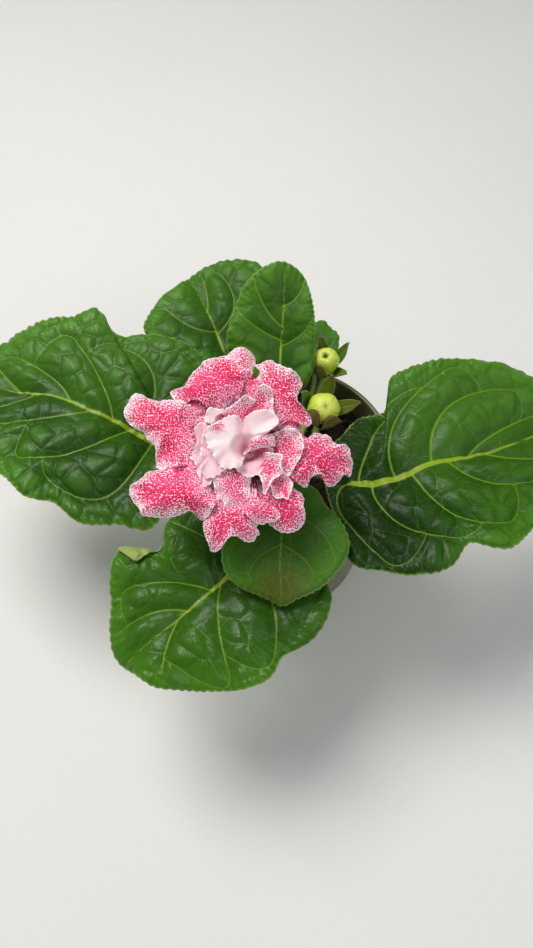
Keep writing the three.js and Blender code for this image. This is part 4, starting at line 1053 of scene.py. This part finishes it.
LOBES = {
    "left_high": petal_of(
        heart=(-30, 9), lift=1, cup=1.5, ruffle=2, waves=7, wash=0.2,
        outline=((-49.5, 23.5), (-51, 20.5), (-52, 15), (-50.5, 11.5), (-47, 8.5), (-44, 7.5),
            (-42.5, 4.5), (-38.5, 1), (-38.5, -4), (-38, -8.5), (-32, -9), (-20, -7), (-6, -2), (-4, 4),
            (-14, 14), (-25.5, 20), (-32, 22), (-37, 21.5), (-42, 22), (-44.5, 24), (-47.5, 25))),
    "back_left": petal_of(
        heart=(-10, 28), lift=4, cup=-3.5, ruffle=2, waves=6,
        outline=((-33, 26), (-31, 22.5), (-28.5, 19.5), (-25, 20), (-20.5, 21), (-14, 16), (-6, 6),
            (-2, 5), (-1, 12), (-0.5, 24), (1, 29), (3.5, 32), (4.5, 34), (2, 35.5), (-1, 39.5),
            (-3, 42), (-5.5, 43.5), (-8, 42), (-14, 39.5), (-19.5, 36), (-22.5, 34), (-25.5, 30),
            (-28, 26.5), (-31, 27))),
    "back_left_tip": petal_of(
        heart=(-1, 40), lift=3.2, cup=-2.5, ruffle=0.5, waves=4, wash=0.45,
        outline=((-4, 34), (0, 32), (3.5, 33), (4.5, 36), (5.5, 39.5), (5, 43), (3, 45.5), (-0.5, 47),
            (-4, 45.5), (-5.5, 44), (-8, 41))),
    "back_right": petal_of(
        heart=(16, 24), lift=3, cup=-1.5, ruffle=2, waves=6,
        outline=((9, 36), (8, 34), (6, 30), (7, 27), (8, 22.5), (5, 14), (2, 5), (6, 2), (14, 6),
            (19, 11.5), (23.5, 10.5), (28, 9), (30.5, 11.5), (30, 15), (27.5, 18), (24, 21), (25, 25.5),
            (26.5, 28.5), (25, 32.5), (22, 34.5), (17.5, 36), (14, 37.5), (13, 40), (11, 41), (8, 39.5),
            (5, 38))),
    "right": petal_of(
        heart=(30, -5), lift=1.8, cup=-2, ruffle=2, waves=7,
        outline=((25.5, 6.5), (18, 6.5), (8, 3), (6, -4), (12, -9), (19, -11.5), (24, -15.5), (28, -17),
            (30, -13), (33, -11.5), (36, -12), (36, -13.5), (37.5, -16), (41, -15.5), (43.5, -13),
            (45, -10.5), (47.5, -12), (48.5, -9.5), (49, -5.5), (47.5, -3), (47, 0), (44.5, 1.5),
            (42.8, 1.5), (40.5, 2.5), (38.5, 5.5), (35, 6.5), (31, 6), (28.5, 4))),
    "front_right": petal_of(
        heart=(19, -25), lift=0.6, cup=-2, ruffle=1.6, waves=5,
        outline=((21.5, -15), (19, -11.5), (14, -8), (7, -4), (5, -8), (8, -18), (12.5, -28.5),
            (11.5, -33), (13.5, -34.5), (16.5, -36.5), (20.5, -37), (24.5, -35.5), (27, -32.5),
            (27.5, -28.5), (26.5, -25), (27, -22.5), (25.5, -19.5), (22.5, -17.5))),
    "front": petal_of(
        heart=(-5, -30), lift=1.2, cup=-1.8, ruffle=1.9, waves=6,
        outline=((-17.5, -33), (-16.5, -38), (-15, -41.5), (-14, -45), (-11, -45), (-8, -42),
            (-5.5, -39), (-2.5, -38.5), (0.5, -40.5), (3.5, -41), (5.5, -40), (6, -38.5), (7.5, -37.5),
            (7, -36), (6, -34.5), (7, -33), (6, -26.5), (3, -14), (0, -5), (-5, -5), (-10, -14),
            (-14, -25), (-16, -29))),
    "front_small": petal_of(
        heart=(8, -27), lift=3.4, cup=-1.5, ruffle=0.9, waves=5,
        outline=((6.5, -22.5), (5, -14), (1, -8), (-1, -12), (-0.5, -25), (3, -31), (6.5, -33),
            (8.5, -33.5), (11.5, -32.5), (14.5, -32), (16.5, -30), (15.5, -27.5), (13.5, -25.5),
            (10, -24))),
    "left_low": petal_of(
        heart=(-28, -18), lift=2.6, cup=-2.2, ruffle=2.1, waves=7, wash=0.1,
        outline=((-49.5, -20.5), (-47.5, -24), (-44, -27), (-43.5, -29.5), (-41, -30), (-35, -30.5),
            (-29.5, -30), (-25.5, -28.5), (-22.5, -27.5), (-20.5, -29.5), (-17.5, -31.5), (-14, -29),
            (-9, -20), (-5, -9), (-5, -4), (-12, -4), (-22, -4.5), (-29, -4.5), (-33.5, -9),
            (-37, -9.5), (-40, -9.5), (-43, -10.5), (-44.8, -13.5), (-46.8, -15.2), (-49.8, -16.8))),
}
INNER_SPOTTED = {
    "crest": petal_of(
        heart=(1, 13), level=8, slope=(0, 0.25), cup=2, ruffle=0.9, waves=6, root=(0, 2), claw=9,
        wash=0.05,
        outline=((-10, 5), (-0.5, 2), (9.5, 5), (14.5, 11.5), (13.5, 16), (13.5, 21), (12.5, 25),
            (9.5, 26.5), (7.5, 26), (6.5, 23), (6, 20), (4, 21), (2, 22), (-1, 20.5), (-4.5, 18),
            (-8.5, 15.5), (-12, 12.5), (-14, 9))),
    "curl": petal_of(
        heart=(7, 1), level=14.5, slope=(0, 0.2), cup=-3.2, ruffle=0.5, waves=4, root=(1, 0), claw=5,
        depth=4, wash=0.2,
        outline=((0.5, -3.5), (3, -2), (6.5, -1), (10.5, -0.5), (14, 0), (14, 3), (12.5, 5), (8.5, 5),
            (4.5, 4), (2.5, 2), (1, -0.5))),
    "side": petal_of(
        heart=(18, -2), level=8.5, slope=(0.05, 0.1), cup=2.2, ruffle=1.2, waves=6, root=(2, 0),
        claw=15, wash=0.15,
        outline=((4, -2), (9, -6), (16.5, -10), (20, -13), (22, -10), (23.5, -7.5), (25.5, -4),
            (26.5, 0), (26, 3.5), (23.5, 7), (21, 7.5), (16.5, 7), (10, 4), (4, 2))),
    "side_low": petal_of(
        heart=(12, -12), level=10, slope=(0.1, 0), cup=2, ruffle=0.9, waves=5, root=(1, -2), claw=11,
        wash=0.15,
        outline=((3, -4), (6, -10), (8.6, -16), (9.5, -21), (11.5, -18), (13.5, -14.5), (16, -13),
            (17.5, -11.5), (16.5, -7.5), (17.5, -4), (12, -3), (6, -2))),
    "tube": petal_of(
        heart=(16, -17), level=6, slope=(0, -0.1), cup=3.4, ruffle=1.2, waves=5, root=(1, -3), claw=14,
        wash=0.2,
        outline=((9, -13), (12.5, -18), (13.2, -21), (15.5, -22.8), (17.5, -22), (19.5, -23),
            (21, -19.5), (21.8, -16), (20, -13), (16, -10), (10, -8))),
    "lip": petal_of(
        heart=(-3, -19), level=10, slope=(0, 0.12), cup=-1.8, ruffle=1.2, waves=6, root=(0, -2),
        claw=11, wash=0.3,
        outline=((-12, -18), (-11, -22.5), (-8.5, -23.5), (-7, -26.5), (-4.5, -28.5), (-1, -28.5),
            (2.5, -29.5), (4.5, -30.5), (5.5, -28), (5, -25), (3.8, -21), (3.4, -17), (4, -12), (2, -6),
            (-2, -5), (-6.5, -8), (-10.5, -10.5), (-12.5, -13.5))),
}
PALE = {
    "frill_outer": petal_of(
        heart=(-15.5, -4), level=7.5, slope=(0.25, 0), cup=1.2, ruffle=0.9, waves=9, root=(0, 0),
        claw=12, depth=-8, hem=0.3, crimp=0.5, crimp_length=4, wash=0.35,
        outline=((-21, 6.5), (-19.5, 3), (-20.5, 0.5), (-21.5, -2), (-22.5, -4.5), (-21.5, -6),
            (-19.5, -8.5), (-20, -11), (-18.5, -13), (-17.5, -17), (-14.5, -17), (-13, -15.5),
            (-8, -11), (-4, -5), (-4, 0), (-10, 4), (-14.5, 9), (-17.5, 11), (-20.5, 9.5))),
    "frill_inner": petal_of(
        heart=(-12.5, -3.5), level=10, slope=(0.2, 0), cup=1, ruffle=0.9, waves=9, root=(0, 0), claw=10,
        depth=-8, hem=0.3, crimp=0.5, crimp_length=4, wash=0.35,
        outline=((-17, 5), (-17.5, 1), (-18, -3.5), (-16.5, -6.5), (-17.5, -8.5), (-17.5, -11.5),
            (-14.5, -14), (-11, -13), (-6, -9), (-3, -4), (-4, 1), (-10, 4), (-14, 9), (-16.5, 7.5))),
    "tip": petal_of(
        heart=(-12, 13), level=9, slope=(0, 0.1), cup=1, ruffle=0.5, waves=5, root=(-4, 6), claw=8,
        depth=-4,
        outline=((-16.5, 11), (-10, 8), (-5, 8), (-6, 13), (-8, 16), (-10.5, 16.5), (-14, 17),
            (-15.5, 15.5))),
    "under": petal_of(
        heart=(5, -7), level=7.5, slope=(0, -0.25), cup=2.5, ruffle=0.9, waves=7, root=(2, -1), claw=8,
        depth=-4, crimp=0.4, wash=0.5, blot=(8, -1, 3.6), crimp_length=3.4,
        outline=((-0.5, -8), (-2, -10.5), (-0.5, -12), (2.5, -13.5), (5, -13), (8, -11.5), (10.5, -8),
            (12.5, -4.5), (13.5, -1), (10.5, 0), (4.5, 0), (0.5, -3))),
    "heart_shaped": petal_of(
        heart=(-0.5, 3.5), level=13.5, slope=(0.05, 0.05), cup=0.8, ruffle=0.9, waves=7, root=(1, -1),
        claw=7, depth=5, hem=0.5, crimp=0.45, channel=((0.3, 12.5), (1, -2.5), 3.2),
        blot=(-10.5, 8.5, 3.2), plain_from=2,
        outline=((-14.5, -1), (-12.5, -3.5), (-12, -5.5), (-10, -8), (-8, -10), (-3.5, -10),
            (-0.5, -9.5), (1, -4.5), (3, -0.5), (5.5, 2), (8.5, 4), (12.5, 6.5), (15.5, 9),
            (15.5, 11.5), (12.5, 14.5), (8.5, 15), (4, 14), (1.2, 12), (0.3, 10.2), (-0.8, 12),
            (-4.5, 13), (-8, 11.5), (-11, 9.5), (-14.5, 7.5), (-15.5, 3.5))),
}


def corolla_tube():
    """The bell-shaped tube and the inner part of the frill, below the lobes."""
    share, turn, faces, border = round_grid(TUBE_RINGS, TUBE_RIM)
    inside, outside = share / TUBE_SHARE, (share - TUBE_SHARE) / (1 - TUBE_SHARE)
    reach = FRILL_UNDER_LOBES * ring_value(FRILL, turn)
    radius = np.where(share < TUBE_SHARE, np.interp(inside, BELL_SHARES, BELL_RADII),
                      THROAT_RADIUS + (reach - THROAT_RADIUS) * outside)
    n = np.where(share < TUBE_SHARE, tube_height(np.minimum(inside, 1)), bell_height(radius, turn))
    n -= 0.5 * np.clip(outside, 0, 1)
    p, q = polar(radius, turn)
    fields = {"hem": TUBE_HEM, "height": n, **grain_fields(p, q, number=19)}
    return thin_body(in_flower(p, q, n), faces, border, 0.5 * PETAL_THICKNESS, fields)


def petals_in(group, first):
    """The petals of a group, numbered from `first`."""
    return [petal_part(petal, number) for number, petal in enumerate(group.values(), first)]


def skin_grain(at):
    """The point in the skin's grain, and its distance to the nearest dot, about 0 to 0.8."""
    parts = {0: field(at, "grain_x"), 1: field(at, "grain_y")}
    grain = add_node(at, "CombineXYZ", parts).outputs[0]
    inputs = {"Vector": grain, "Scale": 1.28, "Randomness": 0.85}
    dots = add_node(at, "TexVoronoi", inputs, voronoi_dimensions="2D", feature="F1")
    return grain, dots.outputs["Distance"]


def spotted_finish():
    """Crimson with white netting that turns to crimson dots on white towards the hem."""
    made, shader, at = start_finish("spotted_petal_skin", 0.55, 0.3)
    grain, dots = skin_grain(at)
    hem, radius, height = (field(at, value) for value in ("hem", "radius", "height"))
    lobe = maths("SUBTRACT", 1.0, field(at, "inner"))
    throat = maths("MULTIPLY", ease(radius, 33, 20), lobe)
    maroon = maths("MULTIPLY", ease(radius, 24, 15), lobe)

    net = maths("ADD", dots, ease(cloud(grain, 1.1, 0.0), 0.3, 0.7, -0.07, 0.07))
    level = ease(hem, 8.0, 0.0, 0.56, 0.35)
    level = maths("SUBTRACT", level, maths("MULTIPLY", field(at, "wash"), 0.18))
    level = maths("ADD", level, ease(cloud(at, 0.07), 0.35, 0.65, -0.02, 0.05))
    level = maths("SUBTRACT", level, maths("MULTIPLY", throat, 0.22))
    white = ease(maths("SUBTRACT", net, level), -0.05, 0.07)

    crimson = tint(ease(cloud(at, 0.09), 0.35, 0.65), (228, 14, 82), (242, 56, 120),
                   (maroon, (160, 26, 70)))
    snow = tint(ease(hem, 1.0, 8.0), (250, 232, 240), (246, 198, 216))
    outside = tint(ease(cloud(grain, 0.9), 0.35, 0.65), (238, 178, 196), (248, 214, 222),
                   (ease(height, -12, -32), (226, 214, 176)))
    # Deeper down the tube the colour goes to a dark mauve, as painted shade.
    shade = tint(white, crimson, snow, (ease(height, -4, -22), (124, 66, 76)),
                 (maths("MULTIPLY", field(at, "under"), 0.75), outside),
                 (ease(hem, 0.7, 0.3), (252, 240, 245)))
    coat(shader, shade, white, 0.06)
    return made


def pale_finish():
    """Blush white with fine veins that run out from the claw, and pinker low in the bloom's folds, which
    is painted shade.
    """
    made, shader, at = start_finish("pale_petal_skin", 0.5, 0.3)
    grain, dots = skin_grain(at)
    specks = maths("MULTIPLY", field(at, "blot"), ease(dots, 0.52, 0.42))
    shade = tint(
        ease(cloud(at, 0.12), 0.3, 0.7), (248, 228, 228), (244, 206, 212),
        (ease(cloud(grain, 1.3), 0.52, 0.66, 0, 0.3), (236, 168, 184)),
        # Painted shade: darker pink lower down among the petals.
        (ease(field(at, "height"), 9, 2, 0, 0.5), (222, 158, 170)),
        (field(at, "wash"), (238, 150, 178)),
        (specks, (226, 40, 104)),
        (ease(field(at, "hem"), 0.8, 0.2), (252, 238, 240)),
    )
    coat(shader, shade, cloud(grain, 1.6, 3.0), 0.12)
    return made


spotted_skin = spotted_finish()
make_piece("corolla", [corolla_tube(), *petals_in(LOBES, 0)], [spotted_skin], "spotted_petal",
           "flower_spotted_petals")
make_piece("inner_spotted_petals", petals_in(INNER_SPOTTED, 20), [spotted_skin], "spotted_petal",
           "flower_spotted_petals")
make_piece("pale_petals", petals_in(PALE, 40), [pale_finish()], "pale_petal", "flower_pale_petals")

# ---- stalks and calyces ----
# The bloom and each bud stand on a hairy green stalk that ends in a cup with five pointed sepals. The
# sepals are thick and folded along their middle, and their tips turn brown with age.
SEPAL_THICKNESS = 0.7
SEPAL_STEPS = (16, 40)
SEPAL_HAIRS = 160
STALK_STEPS = 60
STALK_SIDES = 18
BUD_CLEARANCE = 2.6  # from a bud's or the bloom's lower end down to the cup of its calyx
BUDS = {
    "bud_back": SimpleNamespace(at=np.array([23.2, 45.4, 127.4]), axis=(-0.14, -0.3, 0.94), radius=7.1,
                                tall=9.2, mouth=2.2, turn=0.4),
    "bud_front": SimpleNamespace(at=np.array([19.5, 7, 137]), axis=(0.05, -0.45, 0.9), radius=8.2,
                                 tall=8.6, mouth=0.4, turn=1.0),
}
BLOOM = SimpleNamespace(at=FLOWER_AT, axis=FLOWER_AXES[2], tall=TUBE_LENGTH + 0.6)
STALKS = {
    # start, length, width and swell shape the sepals. open gives how far each one's tip leans out,
    # and is below 0 where it hugs its bud.
    "flower": SimpleNamespace(
        head=BLOOM, path=((-5, -2, 95), (-13, -8, 112)), thick=2.1, cup=2.4, start=1.4, length=26,
        width=4.2, swell=9.6, open=(8, 8, 8, 8, 8), turn=0.9, brown=0.4),
    "bud_back": SimpleNamespace(
        head=BUDS["bud_back"], path=((5, 4, 95), (12, 18, 106)), thick=1.7, cup=2.2, start=1.2,
        length=19, width=5.0, swell=7.6, open=(6, 3, 3, -3, 6), turn=0.5, brown=0.15),
    "bud_front": SimpleNamespace(
        head=BUDS["bud_front"], path=((6, -1, 95), (14, 2, 108)), thick=1.7, cup=2.2, start=1.2,
        length=20, width=6.0, swell=9.4, open=(7, 5, 3, -5, -4), turn=0.1, brown=0.5),
}


def axes_about(axis):
    """The axis at a length of 1, and two directions square to it and to each other."""
    axis = unit(np.array(axis, float))
    side = unit(np.array([1.0, 0, 0]) - axis * axis[0])
    return axis, side, np.cross(axis, side)


def sepal_parts(stalk, base, draw):
    """The sepals round a cup, with their hairs."""
    parts = []
    axis, side, other = axes_about(stalk.head.axis)
    s, t, faces, border = sheet_grid(*SEPAL_STEPS)
    for i, opening in enumerate(stalk.open):
        turn = stalk.turn + 2 * np.pi * i / len(stalk.open)
        out = side * math.cos(turn) + other * math.sin(turn)
        hugs = opening < 0
        width = stalk.width * (1.35 if hugs else 1)
        half = width * (0.55 + 0.9 * t) * (1 - t) ** (0.55 if hugs else 0.75) + 0.12
        swell = stalk.swell * np.sin(np.minimum(1, 1.3 * t) * 0.5 * np.pi)
        fold = 0.5 * s * s - 0.35 * hump(s, 0.12)
        wave = 0.35 * s * np.sin(9 * t + 2 * i) + draw.uniform(-0.4, 0.4)
        r = stalk.start + swell + opening * t * t - fold + wave * t + 1.4 * hugs * np.sin(np.pi * t)
        points = base + columns(stalk.length * t, r, s * half) @ np.array([axis, out, np.cross(axis, out)])
        age = draw.uniform(0, 1) * stalk.brown + 0.4 * hugs
        fields = {"rib": 0.25 - np.abs(s * half), "along": t, "age": age,
                  "margin": (1 - np.abs(s)) * half}
        looks = point_normals(points, faces)
        parts += [thin_body(points, faces, border, 0.5 * SEPAL_THICKNESS, fields),
                  hairs(draw, points + 0.2 * looks, looks, SEPAL_HAIRS,
                        spread=0.4, lengths=(0.5, 1.2), width=0.04)]
    return parts


def stalk_parts(stalk, seed):
    """The stalk, the cup on its end, their hairs and the sepals."""
    draw = np.random.default_rng(seed)
    base = stalk.head.at - (stalk.head.tall + BUD_CLEARANCE) * axes_about(stalk.head.axis)[0]
    path = smooth_path([*stalk.path, base], STALK_STEPS)
    radii = stalk.thick * (1 - 0.15 * np.linspace(0, 1, len(path)))
    stem_points, stem_faces = tube(path, radii, STALK_SIDES)
    round_points, round_faces = ball(subdivisions=4)
    return [
        part_of(stem_points, stem_faces, 1, along=1.0),
        part_of(round_points * stalk.cup + base, round_faces, 1, along=1.0),
        stem_hairs(draw, path, stem_points, len(path), STALK_SIDES, lengths=(0.6, 1.6)),
        *sepal_parts(stalk, base, draw),
    ]


sepal_finish, shader, at = start_finish("sepal_skin", 0.5)
old = maths("ADD", field(at, "age"), ease(field(at, "along"), 0.75, 1.0, 0, 0.5))
shade = tint(
    cloud(at, 0.25, 3.0), (64, 104, 26), (98, 140, 44),
    (ease(field(at, "rib"), -0.4, 0.1, 0, 0.6), (138, 166, 70)),
    (ease(field(at, "margin"), 0.7, 0.0, 0, 0.5), (150, 160, 86)),
    (old, (112, 90, 40)),
)
coat(shader, shade, cloud(at, 2.0, 4.0), 0.15)
for number, (head_name, stalk) in enumerate(STALKS.items()):
    make_piece(head_name + "_stalk", stalk_parts(stalk, 60 + number),
               [sepal_finish, petiole_finish, hair_finish], "stalk", head_name + "_stalk_and_calyx")

# ---- buds ----
# Two young buds, lime yellow and finely hairy. Each is made of rounded lobes that fold in over one
# another. The older one has begun to open, and its small sunk mouth is painted dark as painted shade.
BUD_RINGS = 89
BUD_SIDES = 120
BUD_HAIRS = 700
SEAM_DEPTH = 0.05


def bud_parts(bud, seed):
    """The bud's folded lobes, drawn in to its mouth, and its hairs."""
    axis, side, other = axes_about(bud.axis)
    slants = np.linspace(0, np.pi, BUD_RINGS + 2)[1:-1]
    down, around = (g.ravel() for g in np.meshgrid(slants, circle(BUD_SIDES)[2], indexing="ij"))
    z, flat = np.cos(down), np.sin(down)
    seams = hump(np.sin(2.5 * around + 0.5 * bud.turn + 1.4 * z), 0.12) * flat * (z > -0.5)
    folds = 0.028 * np.cos(5 * around + bud.turn + 0.8 * z) * flat**1.5
    folds += 0.03 * np.sin(2 * around + 3 * z + bud.turn) * flat
    belly = bud.radius * (1 + folds - SEAM_DEPTH * seams)
    mouth = bud.mouth * hump(flat, 0.3) * (z > 0) * (1 + 0.3 * np.cos(5 * around))
    sunk = columns(*polar(flat * belly, around), z * bud.tall - mouth)
    points = bud.at + sunk @ np.array([side, other, axis])
    ends = [bud.at + axis * (bud.tall - 1.3 * bud.mouth), bud.at - axis * bud.tall]
    # The rings run downwards, so each face is turned over to look outwards.
    faces = [face[:1] + face[:0:-1] for face in ring_faces(BUD_RINGS, BUD_SIDES)]
    # Painted shade darkens the top where the mouth is sunk, most where the mouth is wide.
    deep = hump(flat, 0.2) * (z > 0) * min(1.0, bud.mouth)
    body = part_of(np.concatenate([points, ends]), faces, deep=[*deep, 1, 0], seam=[*seams, 0, 0],
                   top=[*z, 1, -1])
    draw = np.random.default_rng(seed)
    return [body, hairs(draw, points, points - bud.at, BUD_HAIRS,
                        spread=1.5, lengths=(0.4, 0.9), width=0.035, finish=1)]


bud_finish, shader, at = start_finish("bud_skin", 0.45)
shade = tint(
    cloud(at, 0.2, 3.0), (176, 206, 10), (212, 230, 56),
    (ease(field(at, "top"), 0.3, 1.0, 0, 0.55), (228, 232, 124)),
    (maths("MULTIPLY", field(at, "seam"), 0.4), (126, 160, 30)),
    # Painted shade: dark in the bud's mouth.
    (field(at, "deep"), (70, 58, 20)),
)
coat(shader, shade, cloud(at, 1.2, 4.0), 0.25)
shader.inputs["Subsurface Weight"].default_value = 0.1
shader.inputs["Subsurface Scale"].default_value = 0.002
for number, (bud_name, bud) in enumerate(BUDS.items()):
    make_piece(bud_name + "_lobes", bud_parts(bud, 80 + number), [bud_finish, hair_finish], "bud",
               bud_name)
